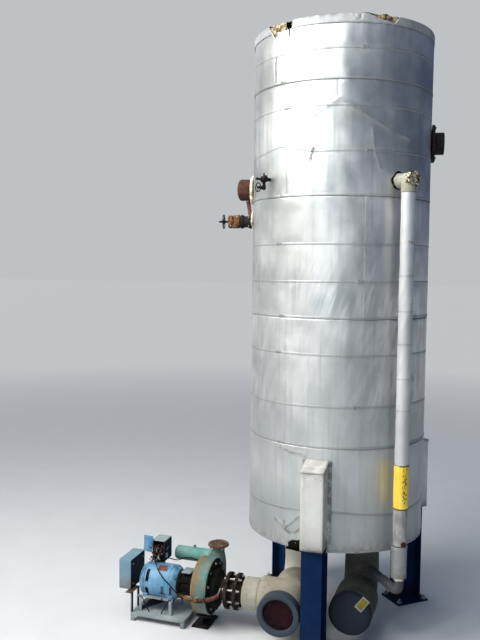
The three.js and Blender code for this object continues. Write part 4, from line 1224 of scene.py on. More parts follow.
def add_side_valve():
    """Stop valve on a flanged stem: body, square bonnet and handwheel, and the link pipe above it."""
    place = facing(*SIDE_VALVE)
    body = Form()
    profile = [(0, 0.615), (0.030, 0.615), (0.030, 0.696), (0.034, 0.700)]
    profile += [(0.055, 0.700), (0.055, 0.719)]
    profile += [(0.051, 0.722), (0.046, 0.731), (0.044, 0.747), (0.046, 0.763), (0.052, 0.768)]
    profile += [(0.055, 0.773), (0.055, 0.7885), (0, 0.7885)]
    body.lathe(profile, place, 32, 0, (0.02, 0.0008, 81))
    body.bolts(ring_of(place, 4, 0.045, 45, 0.722), 0.0065, 1)
    lump = [(0.030, -0.006), (0.070, -0.006), (0.064, 0.004), (0.045, 0.010), (0.030, 0.010)]
    body.lathe(lump, place @ shift(0, 0.012, 0.697), 40, 2, (0.02, 0.006, 82))
    body.piece("side_valve_casting", [dark_iron, bare_steel, cream_foam], ["side_valve_body"])
    bonnet = Form()
    bonnet.block((0.098, 0.098, 0.099), place @ shift(0, 0, 0.8425), 0.012, 0, (0.05, 0.0022, 83), 2)
    gland = [(0, 0), (0.034, 0), (0.034, 0.008), (0.022, 0.0135), (0.012, 0.0135)]
    gland += [(0.012, 0.006), (0, 0.006)]
    bonnet.lathe(gland, place @ shift(0, 0, 0.8825), 24, 1)
    corners = [place @ shift(x, y, 0.8895) for x in (-0.038, 0.038) for y in (-0.038, 0.038)]
    bonnet.bolts(corners, 0.0062, 2)
    plugs = [place @ shift(0.049, y, z) @ turned(90, "Y") for y, z in ((0.036, 0.816), (-0.036, 0.868))]
    bonnet.bolts(plugs, 0.005, 2, False)
    finishes = [ochre, dark_iron, bare_steel]
    bonnet.piece("side_valve_top", finishes, ["side_valve_bonnet"], angle=40)
    wheel = Form()
    stem = [(0, 0.8895), (0.0085, 0.8895), (0.0085, 0.955), (0.0070, 0.958)]
    stem += [(0.0070, 0.969), (0.0055, 0.971)]
    wheel.lathe(stem + [(0, 0.971)], place, 16)
    spoked_wheel(wheel, place @ shift(0, 0, 0.9310), 0.0540, 0.0042, 0.013, 4, 0.001)
    wheel.bolt(place @ shift(0, 0, 0.9405), 0.010)
    wheel.piece("side_handwheel", [dark_iron], ["side_valve_handwheel"], "side_valve_wheel")
    link = Form()
    top = polar(SIDE_VALVE[0], 0.735, 3.3325)
    low = polar(SIDE_VALVE[0], 0.717, 3.2248)
    radii = [0.0165] * 2 + [0.0150] * 5 + [0.0165, 0.0168]
    link.sweep(between(top, low, 9), radii, 20, 0, (0.03, 0.0008, 84))
    link.piece("link_nipple", [primer], ["link_pipe"])


def add_gauge_valve():
    """Small gauge valve: body and plug on a stem, an upright barrel with a spike, and a wheel lower down."""
    place = facing(*GAUGE_VALVE)
    barrel = 0.742
    body = Form()
    stem = [(0, 0.6125), (0.013, 0.6125), (0.013, 0.716), (0.019, 0.718), (0.022, 0.723), (0.022, 0.760)]
    stem += [(0.018, 0.764), (0.0095, 0.766), (0.0075, 0.772), (0.0075, 0.790), (0.0090, 0.793)]
    stem += [(0.0090, 0.808), (0.007, 0.8115), (0, 0.8115)]
    body.lathe(stem, place, 24, 0, (0.02, 0.0009, 91))
    low, high = place @ Vector((0, -0.0775, barrel)), place @ Vector((0, 0.0215, barrel))
    radii = [0.010, 0.0150, 0.0155, 0.012, 0.012, 0.0155, 0.0158, 0.0150, 0.011]
    body.sweep(between(low, high, 9), radii, 16, 0, (0.02, 0.0008, 92))
    spike = [place @ Vector((0, y, barrel)) for y in (0.018, 0.030, 0.040, 0.0455)]
    body.sweep(spike, [0.0068, 0.0062, 0.0055, 0.0040], 10)
    body.block((0.024, 0.024, 0.024), place @ shift(0.020, 0.014, 0.745), 0.004, 0, (0.02, 0.0008, 93), 1)
    lowered = place @ shift(0, -GAUGE_WHEEL_DROP, 0)
    gland = [(0, 0.750), (0.012, 0.750), (0.012, 0.770), (0.010, 0.7785)]
    gland += [(0.0058, 0.7785), (0.0058, 0.765)]
    body.lathe(gland + [(0, 0.765)], lowered, 20)
    body.piece("gauge_cock", [dark_iron], ["gauge_valve"])
    wheel = Form()
    stem = [(0, 0.7645), (0.0048, 0.7645), (0.0048, 0.787), (0.009, 0.7875)]
    stem += [(0.009, 0.7995), (0.005, 0.8005)]
    wheel.lathe(stem + [(0.005, 0.8028), (0, 0.8028)], lowered, 16)
    spoked_wheel(wheel, lowered @ shift(0, 0, 0.7935), 0.0318, 0.0040, 0.0075, 3, 0.0)
    wheel.piece("gauge_wheel", [dark_iron], ["gauge_valve_wheel"], "gauge_valve_wheel")


add_nozzles()
add_side_valve()
add_gauge_valve()

LEVEL_FOOT = polar(LEVEL_DIRECTION, LEVEL_AXIS, 0)
LEVEL_PLACE = Matrix.Translation(LEVEL_FOOT) @ turned(LEVEL_DIRECTION)
LEVEL_RADIUS = 0.0505
LEVEL_WRAPS = [2.98, 2.752, 2.501, 2.27, 2.023, 1.796]
MARKER_BOTTOM = 1.089
MARKER_TOP = 1.401


def on_level_pipe(x, y, z):
    return LEVEL_PLACE @ Vector((x, y, z))


def add_scraps(form, count, seed, radius, turns, heights, lean, widths, lengths, depth, finish):
    """Small flat scraps scattered on the level pipe's front."""
    random = np.random.default_rng(seed)
    for _ in range(count):
        turn = turned(random.uniform(*turns))
        spot = LEVEL_PLACE @ turn @ shift(0, -radius, random.uniform(*heights)) @ turned(90, "X")
        spot = spot @ Matrix.Rotation(random.uniform(-lean, lean), 4, "Z")
        size = (random.uniform(*widths), random.uniform(*lengths), depth)
        form.block(size, spot, 0.0003 if depth > 0.001 else 0, finish)


def add_level_jacket():
    """Sheet-covered pipe with wraps over its joints, tatters at the top one, a long seam and the marker."""
    form = Form()
    profile = []
    for height in even(0.817, 3.334, 0.0125):
        step = sum(0.0010 * falling(abs(height - wrap), 0.012) for wrap in LEVEL_WRAPS)
        profile.append((LEVEL_RADIUS + step, height))
    form.lathe(profile, LEVEL_PLACE, 48, 0, (0.07, 0.0009, 101))
    wrap = [(LEVEL_RADIUS, -0.004), (0.0520, -0.004), (0.0522, 0)]
    wrap += [(0.0520, 0.004), (LEVEL_RADIUS, 0.004)]
    for height in LEVEL_WRAPS:
        form.lathe(wrap, LEVEL_PLACE @ shift(0, 0, height), 48, 1)
    x, y = LEVEL_RADIUS * math.cos(1.9), LEVEL_RADIUS * math.sin(1.9)
    form.sweep([on_level_pipe(x, y, z) for z in even(0.83, 3.32, 0.05)], 0.0016, 6, 1)
    top = LEVEL_WRAPS[0]
    heights = (top - 0.012, top + 0.020)
    add_scraps(form, 22, 37, 0.0520, (-70, 60), heights, 0.9, (0.004, 0.016), (0.002, 0.005), 0.0012, 2)
    form.grime = [float(p[2] < MARKER_BOTTOM + 0.001) for p in form.points]
    finishes = [bright_pipe, strap_metal, torn_wrap]
    form.piece("level_pipe_sheet", finishes, ["level_pipe_jacket"], angle=45)
    marker = Form()
    skin_radius = 0.0538
    sleeve = [(0.0515, MARKER_BOTTOM - 0.002), (skin_radius, MARKER_BOTTOM - 0.001)]
    sleeve += [(skin_radius, z) for z in even(1.10, 1.39, 0.02)]
    sleeve += [(skin_radius, MARKER_TOP + 0.001), (0.0515, MARKER_TOP + 0.002)]
    marker.lathe(sleeve, LEVEL_PLACE, 48, 0, (0.09, 0.0006, 102))
    edge = [(0.0536, -0.004), (0.0543, -0.004), (0.0543, 0.004), (0.0536, 0.004)]
    for height in (MARKER_BOTTOM, MARKER_TOP):
        marker.lathe(edge, LEVEL_PLACE @ shift(0, 0, height), 48, 1)
    heights = (1.11, 1.385)
    sizes = ((0.003, 0.008), (0.004, 0.014))
    add_scraps(marker, 46, 29, skin_radius, (-32, 8), heights, 0.7, *sizes, 0.0006, 1)
    marker.piece("level_pipe_marker", [marker_yellow, marker_black])


def add_level_lower():
    """The crumpled lower piece with a ragged end over foam, its band and a rusty plug."""
    radius = 0.0585
    form = Form()
    profile = [(0.030, 0.596), (0.0525, 0.589), (0.0560, 0.588), (radius, 0.594)]
    profile += [(0.0590 + 0.0006 * math.sin(z * 190), z) for z in even(0.607, 0.795, 0.009)]
    profile += [(0.0560, 0.803), (0.0540, 0.8135)]
    form.lathe(profile, LEVEL_PLACE, 120, 0, (0.045, 0.0012, 103))
    # Folds: direction, width, depth and lean.
    random = np.random.default_rng(41)
    ranges = ((-180, 180), (6, 15), (-0.0090, 0.0028), (-50, 50))
    folds = [[random.uniform(low, high) for low, high in ranges] for _ in range(16)]
    points = np.array(form.points)
    out = points - np.array(LEVEL_FOOT)
    turn = np.degrees(np.arctan2(out[:, 0], -out[:, 1]))
    push = np.zeros(len(points))
    for centre, width, depth, lean in folds:
        off = off_from(turn, centre + lean * (points[:, 2] - 0.7))
        push += depth * falling(np.abs(off), width)
    ragged = 0.010 * np.sin(np.radians(turn * 3 + 40)) + 0.006 * np.sin(np.radians(turn * 7))
    points[:, :2] += out[:, :2] * (push / radius)[:, None]
    points[:, 2] += np.where(out[:, 2] < 0.60, ragged, 0)
    form.points = [tuple(point) for point in points.tolist()]
    form.grime = [0.15 + 0.5 * (point[2] < 0.62) for point in form.points]
    band = [(0.0520, 0.806), (0.0570, 0.806), (0.0570, 0.8135), (0.0520, 0.8135)]
    form.lathe(band, LEVEL_PLACE, 48, 1)
    plug = [(0, -0.003), (0.021, -0.003), (0.021, 0.002), (0.015, 0.004), (0.015, 0.0015), (0, 0.0015)]
    form.lathe(plug, LEVEL_PLACE @ turned(-12) @ shift(0.0, -0.0525, 0.835) @ turned(90, "X"), 20, 2)
    core = [(0, 0.5605), (0.036, 0.5605), (0.037, 0.575), (0.034, 0.600), (0, 0.602)]
    form.lathe(core, LEVEL_PLACE, 40, 3, (0.02, 0.004, 104))
    finishes = [lower_sheet_shaded, strap_metal, rust, cream_foam]
    form.piece("level_pipe_lower_sheet", finishes, ["level_pipe_lower"], angle=40)


def add_level_ends():
    """The mastic tee at the top, with its torn blank end, and the wrapped inlet to the right drop leg."""
    tee = Form()
    run = facing(LEVEL_DIRECTION, 3.425)
    reaches = even(0.640, 0.842, 0.010)
    across = [run @ Vector((0, 0, z)) for z in reaches]
    tee.sweep(across, [0.049 + 0.005 * hump(z - 0.700, 0.02) for z in reaches], 56, 0, (0.035, 0.0028, 105))
    down = between(on_level_pipe(0, 0, 3.425), on_level_pipe(0, 0, 3.3365), 10)
    tee.sweep(down, 0.0535, 48, 0, (0.03, 0.0020, 106))
    end = [(0.030, -0.012), (0.0555, -0.012), (0.0562, 0.006), (0.052, 0.016)]
    end += [(0.040, 0.018), (0.034, 0.010)]
    tee.lathe(end + [(0.016, 0.012), (0, 0.008)], run @ shift(0, 0, 0.832), 56, 1, (0.013, 0.0036, 107))
    # Painted shade: a near-black ring in the gap where the tee meets the jacket.
    gap = [(0.045, -0.004), (0.063, -0.004), (0.063, 0.0015), (0.045, 0.0015)]
    tee.lathe(gap, run @ shift(0, 0, 0.688), 48, 2, (0.03, 0.004, 108))
    finishes = [elbow_mastic, torn_wrap, shade_and_black]
    tee.piece("level_pipe_tee", finishes, ["level_pipe_elbow"], angle=60)
    inlet = Form()
    away = at(HEADER_X, HEADER_Y, 0) - LEVEL_FOOT
    run_height = 0.470
    route = [(0, 0.558), (0, 0.530), (0.012, 0.492), (0.06, run_height)]
    route += [(reach, run_height) for reach in even(0.12, away.length - 0.120, 0.05)]
    path = [LEVEL_FOOT + away.normalized() * reach + Vector((0, 0, height)) for reach, height in route]
    inlet.sweep(smooth_path(path, 4), 0.0345, 32, 0, (0.05, 0.0024, 109))
    inlet.piece("level_pipe_inlet_wrap", [inlet_wrap_shaded], ["level_pipe_inlet"], angle=60)


add_level_jacket()
add_level_lower()
add_level_ends()


# Radius of the bolt circle that the branch's flange shares with the pump's.
FLANGE_BOLTS = 0.118
# Finishes of the drop leg and of the header, by side; the right side's mastic is darkened as painted shade.
HEADER_FINISHES = {"left": (drop_canvas, header_mastic), "right": (mastic_shaded, mastic_shaded)}


def add_header(side, x, length, seed):
    """Mastic-covered drop leg with its bend, and the header under it; the left one has the branch's root."""
    drop_finish, body_finish = HEADER_FINISHES[side]
    leg = Form()
    path = [at(x, HEADER_Y, z) for z in np.linspace(0.7495, 0.44, 14)]
    for t in np.linspace(0, 1, 9)[1:]:
        path.append(at(x, HEADER_Y - 0.150 * t * t, 0.430 - 0.150 * (2 * t - t * t)))
    leg.sweep(path, 0.1325, 48, 0, (0.11, 0.0022, seed))
    for height in (0.735, 0.60):
        leg.ring(standing(x, HEADER_Y, height), 0.131, 0.004, 48, 0, 2.2)
    leg.piece(f"{side}_drop", [drop_finish], [f"{side}_drop_leg"], angle=60)
    body = Form()
    place = along_front(x, 0, HEADER_Z)
    profile = [(0, 0.2305), (0.120, 0.2305), (0.145, 0.236), (0.1565, 0.250)]
    profile += [(0.1575, z) for z in even(0.27, length - 0.012, 0.02)]
    profile += [(0.156, length - 0.004), (0.150, length), (0, length)]
    body.lathe(profile, place, 72, 0, (0.10, 0.0020, seed + 2))
    for z in (0.36, 0.50):
        body.ring(place @ shift(0, 0, z), 0.1562, 0.0030, 72, 0, 2.6)
    if side == "left":
        root = [(0, 0), (0.118, 0), (0.136, 0.004), (0.1475, 0.016)]
        root += [(0.1478 - 0.004 * t, 0.016 + 0.19 * t) for t in np.linspace(0.1, 1, 9)] + [(0, 0.206)]
        body.lathe(root, along_x(-0.455, PUMP_Y, PUMP_Z), 72, 0, (0.08, 0.0022, 116))
    body.piece(f"{side}_header_body", [body_finish], [f"{side}_header"], angle=60)


def add_left_end():
    """The left header's sheet sleeve and the recessed blind disc with its bolts."""
    place = along_front(-HEADER_X, 0, HEADER_Z)
    sleeve = Form()
    profile = [(0.116, 0.7255), (0.1565, 0.7255), (0.1595, 0.730)]
    profile += [(0.1595, z) for z in even(0.745, 0.795, 0.0125)]
    profile += [(0.1590, 0.807), (0.1565, 0.8105), (0.150, 0.8118), (0.128, 0.8110), (0.120, 0.8085)]
    profile += [(0.1162, 0.803), (0.1158, 0.77), (0.116, 0.7255)]
    sleeve.lathe(profile, place, 72, 0, (0.09, 0.0010, 121))
    sleeve.piece("left_sleeve", [sleeve_sheet_shaded], ["left_header_sleeve"], angle=40)
    blind = Form()
    disc = [(0, 0.7255), (0.1135, 0.7255), (0.1135, 0.785), (0.108, 0.7895)]
    disc += [(0.074, 0.7895), (0.070, 0.7865)]
    blind.lathe(disc + [(0, 0.7865)], place, 56, 0, (0.05, 0.0006, 122))
    blind.bolts(ring_of(place, 8, 0.092, 22.5, 0.781), 0.0085, 1)
    blind.piece("left_blind", [blind_paint_and_shade, dark_iron], ["left_header_blind"], angle=35)


def add_right_end():
    """The right header's sheet cap with a bare tilted sticker."""
    place = along_front(HEADER_X, 0, HEADER_Z)
    cap = Form()
    profile = [(0, 0.5603), (0.156, 0.5603), (0.1592, 0.565)]
    profile += [(0.1592, z) for z in (0.575, 0.585, 0.595)]
    profile += [(0.1575, 0.602), (0.150, 0.612), (0.140, 0.622), (0.128, 0.6275), (0.10, 0.6295)]
    profile += [(0.05, 0.6310), (0, 0.6315)]
    cap.lathe(profile, place, 72, 0, (0.10, 0.0014, 123))
    cap.ring(place @ shift(0, 0, 0.5650), 0.1565, 0.0030, 72, 0, 2.4)
    cap.piece("right_cap", [cap_sheet_shaded], ["right_header_cap"], angle=40)
    sticker = Form()
    middle = place @ shift(0.093, 0.098, 0.6272) @ turned(52) @ turned(10, "Y")
    sticker.block((0.100, 0.062, 0.0012), middle, 0.0003)
    sticker.block((0.078, 0.046, 0.0012), middle @ shift(0, 0, 0.0008), 0.0003, 1)
    sticker.piece("cap_sticker", [sticker_white_shaded, sticker_yellow_shaded])


def add_branch():
    """Insulated branch, and the pair of drilled flanges between it and the pump, with their stud bolts."""
    branch = Form()
    place = along_x(-0.585, PUMP_Y, PUMP_Z)
    profile = [(0, 0.0003), (0.108, 0.0003), (0.119, 0.004), (0.1225, 0.013)]
    profile += [(0.1225, z) for z in even(0.025, 0.110, 0.012)]
    profile += [(0.121, 0.122), (0.116, 0.1295), (0, 0.1295)]
    branch.lathe(profile, place, 64, 0, (0.05, 0.0013, 124))
    branch.ring(place @ shift(0, 0, 0.016), 0.120, 0.004, 64, 0, 1.6)
    branch.piece("branch_wrap", [white_canvas], ["suction_branch"], angle=60)
    place = along_x(0, PUMP_Y, PUMP_Z)
    back, front = -0.650, -0.624
    flange = Form()
    profile = [(0, -0.6965), (0.093, -0.6965), (0.093, -0.652), (0.100, back)]
    profile += [(0.137, back), (0.140, -0.647)]
    profile += [(0.140, -0.627), (0.137, front), (0.098, front), (0.088, -0.614), (0.084, -0.600)]
    flange.lathe(profile + [(0.084, -0.5855), (0, -0.5855)], place, 64, 0, (0.04, 0.0006, 131))
    flange.bolts(ring_of(place, 8, FLANGE_BOLTS, 22.5, front), 0.0115, 1)
    for stud in ring_of(place, 8, FLANGE_BOLTS, 22.5):
        flange.lathe([(0, -0.6940), (0.0075, -0.6940), (0.0075, -0.600), (0, -0.600)], stud, 10, 1)
    flange.bolts(ring_of(place, 8, FLANGE_BOLTS, 22.5, back, flip=True), 0.0115, 1)
    finishes = [rust_brown, bare_steel]
    flange.piece("branch_flange_pair", finishes, ["branch_flange"], angle=35)


add_header("left", -HEADER_X, 0.7245, 115)
add_header("right", HEADER_X, 0.5595, 116)
add_left_end()
add_right_end()
add_branch()

PUMP_AXIS = along_x(0, PUMP_Y, PUMP_Z)
# The scroll's middle lies a little above the shaft.
SCROLL_AXIS = along_x(0, PUMP_Y, PUMP_Z + 0.016)
NECK = standing(-0.865, -0.360, 0)


def add_volute():
    """Volute casting with its scroll, suction flange, discharge neck, ribs, bolts and drain boss."""
    form = Form()
    scroll = [(0, -0.965), (0.196, -0.965), (0.206, -0.962), (0.2145, -0.955), (0.2178, -0.944)]
    scroll += [(0.2155, x) for x in (-0.935, -0.92, -0.90, -0.88, -0.865)]
    scroll += [(0.2178, -0.855), (0.2178, -0.846), (0.213, -0.836)]
    # Painted shade: the scroll's +X face, the hub and the ribs take the near-black teal.
    face = [(0.213, -0.836), (0.200, -0.831), (0.185, -0.8305), (0, -0.8305)]
    form.lathe(scroll, SCROLL_AXIS, 96, 0, (0.09, 0.0012, 141))
    form.lathe(face, SCROLL_AXIS, 96, 3, (0.09, 0.0012, 141))
    back = [(0, -0.9995), (0.112, -0.9995), (0.118, -0.995), (0.126, -0.982), (0.149, -0.973)]
    hub = [(0.149, -0.973), (0.150, -0.80), (0.140, -0.792), (0.110, -0.781)]
    hub += [(0.090, -0.772), (0.084, -0.762)]
    flange = [(0.084, -0.762), (0.084, -0.732), (0.094, -0.7245), (0.137, -0.7245), (0.140, -0.721)]
    flange += [(0.140, -0.700), (0.137, -0.6972), (0, -0.6972)]
    for profile, finish in ((back, 0), (hub, 3), (flange, 2)):
        form.lathe(profile, PUMP_AXIS, 64, finish, (0.06, 0.0010, 142))
    # Rust spreads from the scroll's rear edge.
    form.grime = [0.85 * float(fade(p[0] - AXIS.x, -0.885, -0.935)) for p in form.points]
    neck = [(0, 0.30), (0.066, 0.30), (0.0645, 0.38), (0.062, 0.44), (0.056, 0.49), (0.050, 0.525)]
    form.lathe(neck + [(0.050, 0.560), (0.056, 0.5695), (0, 0.5695)], NECK, 40, 0, (0.05, 0.0012, 143))
    form.bolts(ring_of(PUMP_AXIS, 8, FLANGE_BOLTS, 22.5, -0.7245, flip=True), 0.0115, 1)
    form.bolts(ring_of(SCROLL_AXIS, 10, 0.176, 18, -0.8305), 0.0085, 1)
    for rib in ring_of(SCROLL_AXIS, 10, 0.163, 18, -0.822)[1::2]:
        form.block((0.055, 0.010, 0.026), rib, 0.003, 3)
    boss = [(0, 0.70), (0.020, 0.70), (0.020, 0.736), (0.016, 0.744), (0, 0.744)]
    form.lathe(boss, along_front(-0.900, 0, 0.277), 24)
    finishes = [teal_paint, bare_steel, rust_brown, teal_shaded]
    form.piece("volute_casting", finishes, ["pump_volute"], angle=35)


def add_discharge_flange():
    low = 0.5705
    form = Form()
    profile = [(0.052, low), (0.080, low), (0.083, 0.573), (0.083, 0.587)]
    profile += [(0.080, 0.590), (0.058, 0.590)]
    form.lathe(profile + [(0.056, 0.585), (0, 0.585)], NECK, 48, 0, (0.03, 0.0005, 144))
    form.bolts(ring_of(NECK, 4, 0.068, 45, low, flip=True), 0.0120, 2, False)
    for spot in ring_of(NECK, 4, 0.068, 45, low):
        form.lathe([(0, -0.018), (0.0075, -0.018), (0.0075, 0.0195), (0, 0.0195)], spot, 12, 2)
    finishes = [rust_tan, dark_iron, bare_steel]
    form.piece("discharge_flange_ring", finishes, ["discharge_flange"], angle=35)


def add_coupling():
    """Dark ribbed housing of the coupling, with a pale plate on top."""
    form = Form()
    profile = [(0, -1.1245), (0.094, -1.1245), (0.098, -1.120), (0.098, -1.104), (0.086, -1.098)]
    profile += [(0.082, -1.080), (0.082, -1.036), (0.086, -1.018), (0.098, -1.012), (0.098, -1.005)]
    profile += [(0.094, -1.0005), (0, -1.0005)]
    form.lathe(profile, PUMP_AXIS, 48, 0, (0.05, 0.0008, 145))
    for rib in ring_of(PUMP_AXIS, 6, 0.088, 30, -1.058):
        form.block((0.018, 0.012, 0.094), rib, 0.002)
    form.block((0.076, 0.110, 0.008), standing(-1.060, PUMP_Y, 0.3955), 0.002, 1)
    form.block((0.060, 0.080, 0.014), standing(-1.060, PUMP_Y, 0.3855), 0.001)
    form.piece("coupling_bracket", [coupling_black, base_paint], ["coupling_housing"])


def round_motor(radius, degrees, x):
    """A point on the motor, its angle measured from the front's horizontal."""
    angle = math.radians(degrees)
    return at(x, PUMP_Y - radius * math.cos(angle), PUMP_Z + radius * math.sin(angle))


def add_motor():
    """Drip-proof motor: ribbed end bells, louvred vents, feet and a bare nameplate."""
    form = Form()
    profile = [(0, -1.445), (0.060, -1.445), (0.100, -1.440), (0.118, -1.428), (0.130, -1.410)]
    profile += [(0.1335, -1.402), (0.1335, -1.394), (0.1300, -1.392), (0.1300, -1.388), (0.1340, -1.386)]
    profile += [(0.1345, x) for x in even(-1.375, -1.190, 0.0155)]
    profile += [(0.1340, -1.182), (0.1300, -1.180), (0.1300, -1.176), (0.1335, -1.174), (0.1335, -1.160)]
    profile += [(0.128, -1.150), (0.116, -1.134), (0.108, -1.1255), (0, -1.1255)]
    form.lathe(profile, PUMP_AXIS, 72, 0, (0.12, 0.0006, 151))
    form.bolts(ring_of(PUMP_AXIS, 4, 0.112, 45, -1.424, flip=True), 0.007, 2)
    for x in (-1.380, -1.170):
        for y in (-0.100, 0.100):
            form.block((0.040, 0.040, 0.022), standing(x, PUMP_Y + y, 0.2065), 0.002)
            form.block((0.010, 0.034, 0.060), standing(x, PUMP_Y + y * 0.92, 0.232), 0.002)
            form.bolt(standing(x, PUMP_Y + y * 1.06, 0.2175), 0.0075, 2)
    # Vents as near-black slots laid on the frame, painted shade for the openings: places along the motor,
    # width, and the angles between which they run.
    vents = [((-1.374, -1.361), 0.0115, 12, 54), ((-1.374, -1.361), 0.0125, -36, -8)]
    vents += [((-1.238, -1.224, -1.168, -1.157), 0.007, -26, 4)]
    for places, width, low, high in vents:
        for x in places:
            turns = even(low, high, 4.0)
            rows = [[round_motor(0.1352, turn, x + off) for off in (0, width)] for turn in turns]
            form.grid(rows, finish=1)
    band = [(0.1348, -1.294), (0.1352, -1.293), (0.1352, -1.211), (0.1348, -1.210)]
    form.grid([[round_motor(radius, turn, x) for radius, x in band] for turn in even(54, 78, 3.0)], finish=3)
    finishes = [motor_paint, shade_and_black, bare_steel, primer]
    form.piece("motor_frame", finishes, ["pump_motor"], angle=35)


def add_junction_box():
    """Open box with a pale lid and a locknut, and its cover plate hanging beside it."""
    low, high = Vector((-1.391, -0.480, 0.4233)), Vector((-1.282, -0.340, 0.589))
    size, middle = high - low, (low + high) / 2
    wall = 0.004
    form = Form()
    for x in (low.x + wall / 2, high.x - wall / 2):
        form.block((wall, size.y, size.z), standing(x, middle.y, middle.z), 0.001)
    for z, finish in ((low.z + wall / 2, 0), (high.z - wall / 2, 2)):
        form.block((size.x, size.y, wall), standing(middle.x, middle.y, z), 0.001, finish)
    form.block((size.x, wall, size.z), standing(middle.x, high.y - wall / 2, middle.z), 0.001)
    for x in (low.x + 0.007, high.x - 0.007):
        form.block((0.010, 0.002, size.z - wall), standing(x, low.y + 0.001, middle.z), 0.0005)
    form.block((0.066, 0.090, 0.052), standing(-1.340, -0.4525, 0.400), 0.004)
    plate = standing(-1.428, -0.481, 0.5555) @ Matrix.Rotation(0.06, 4, "Y")
    form.block((0.076, 0.0035, 0.134), plate, 0.0012, 1)
    form.block((0.064, 0.0020, 0.122), plate @ shift(0, -0.002, 0), 0.0009, 1)
    form.block((0.020, 0.003, 0.012), standing(-1.3905, -0.4805, 0.600), 0.001, 1)
    nut = [(0, 0), (0.021, 0), (0.021, 0.005), (0.016, 0.006), (0, 0.006)]
    form.lathe(nut, along_x(high.x - 0.001, -0.445, 0.463), 24, 2)
    finishes = [navy_paint_and_shade, motor_paint, base_paint]
    form.piece("terminal_box", finishes, ["junction_box"], angle=35)


def add_wiring():
    """Loose leads that spill out of the box, and two thin cables over the motor and to the pump."""
    leads = Form()
    random = np.random.default_rng(17)
    lug = [(0, 0), (0.0055, 0), (0.0055, 0.014), (0, 0.016)]
    for k in range(26):
        start = at(-1.378 + 0.0034 * k, -0.392, random.uniform(0.44, 0.54))
        lean = random.uniform(-0.03, 0.03, 3)
        spill = -0.075 - 0.05 * (k % 2) + lean[2]
        route = [(0, 0, 0), (lean[0], -0.040, 0.020), (lean[1], -0.070, 0.010 + lean[2]),
                 (lean[2] * 0.7, spill, -0.02), (lean[0] * 0.5, 1.1 * spill, -0.045)]
        path = [start + Vector(step) for step in route]
        for point in path:
            # The leads rest on the motor, which falls away towards the front.
            point.z = max(point.z, 0.462 - 0.25 * max(0.0, AXIS.y + PUMP_Y - point.y))
        leads.sweep(smooth_path(path, 5), 0.0034, 8, k % 4)
        leads.lathe(lug, Matrix.Translation(path[-1]) @ Matrix.Rotation(0.6, 4, "X"), 10, 2)
    leads.piece("terminal_leads", [lead_wire, shade_and_black, rust, base_paint])
    cables = Form()
    front = [(-1.352, -0.455, 0.445), (-1.345, -0.500, 0.468), (-1.330, -0.560, 0.466),
             (-1.300, -0.604, 0.441), (-1.265, -0.634, 0.407), (-1.215, -0.655, 0.362),
             (-1.165, -0.668, 0.330), (-1.110, -0.705, 0.308), (-1.045, -0.756, 0.298)]
    back = [(-1.286, -0.470, 0.440), (-1.240, -0.500, 0.466), (-1.150, -0.520, 0.470),
            (-1.090, -0.530, 0.500), (-1.020, -0.530, 0.505), (-0.960, -0.530, 0.490)]
    for route, radius in ((front, 0.0042), (back, 0.0040)):
        cables.sweep(smooth_path([at(*p) for p in route], 6), radius, 8)
    cables.piece("motor_cables", [shade_and_black])


def add_reservoir():
    """Teal oil reservoir with dished ends, weld rings, bands and a filler plug."""
    form = Form()
    x_middle, y, z = -1.10, -0.2825, 0.4401
    place = along_x(0, y, z)
    rear = [(0, -1.2668), (0.030, -1.2655), (0.047, -1.259), (0.0545, -1.248), (0.0555, -1.238)]
    front = [(0.0555, -0.965), (0.0545, -0.954), (0.047, -0.943), (0.030, -0.9365), (0, -0.9355)]
    profile = rear + [(0.0555, x) for x in even(-1.22, -0.98, 0.02)] + front
    form.lathe(profile, place, 48, 0, (0.05, 0.0007, 152))
    for x in (-1.238, -0.965):
        form.ring(place @ shift(0, 0, x), 0.0548, 0.0022, 48)
    for x in (-1.17, -1.03):
        form.lathe([(0.0550, x), (0.0562, x), (0.0562, x + 0.018), (0.0550, x + 0.018)], place, 40)
    plug = [(0, 0.0), (0.010, 0.0), (0.010, 0.012), (0.013, 0.013), (0.013, 0.022), (0, 0.022)]
    form.lathe(plug, standing(x_middle, y, 0.4925), 6, 1)
    form.piece("reservoir", [reservoir_paint, bare_steel], ["oil_reservoir"], angle=35)


def add_guard():
    """Drive guard with its +X side in dark navy as painted shade, bolts and a seam; rust rises from its
    lower edge.
    """
    low, high = Vector((-1.612, -0.640, 0.222)), Vector((-1.503, -0.380, 0.462))
    size, middle = high - low, (low + high) / 2
    form = Form()
    outer = (size.x - 0.0035, size.y - 0.002, size.z - 0.0015)
    form.block(outer, standing(*middle), 0.006, 0, (0.22, 0.0008, 161), 5)
    form.bolts([along_x(-1.5042, y, z) for z in (0.26, 0.42) for y in (-0.60, -0.42)], 0.006, 1)
    form.sweep([at(-1.5032, y, 0.445) for y in even(-0.63, -0.39, 0.03)], 0.0018, 6)
    # Painted shade: faces on the +X side take the dark navy.
    for k, face in enumerate(form.faces):
        inner = np.mean([form.points[i][0] for i in face]) - AXIS.x > -1.506
        if inner and form.finishes[k] == 0:
            form.finishes[k] = 2
    form.grime = [float(fade(point[2], 0.345, 0.215)) for point in form.points]
    form.piece("guard_case", [guard_paint, bare_steel, navy_paint_and_shade], ["drive_guard"], angle=40)


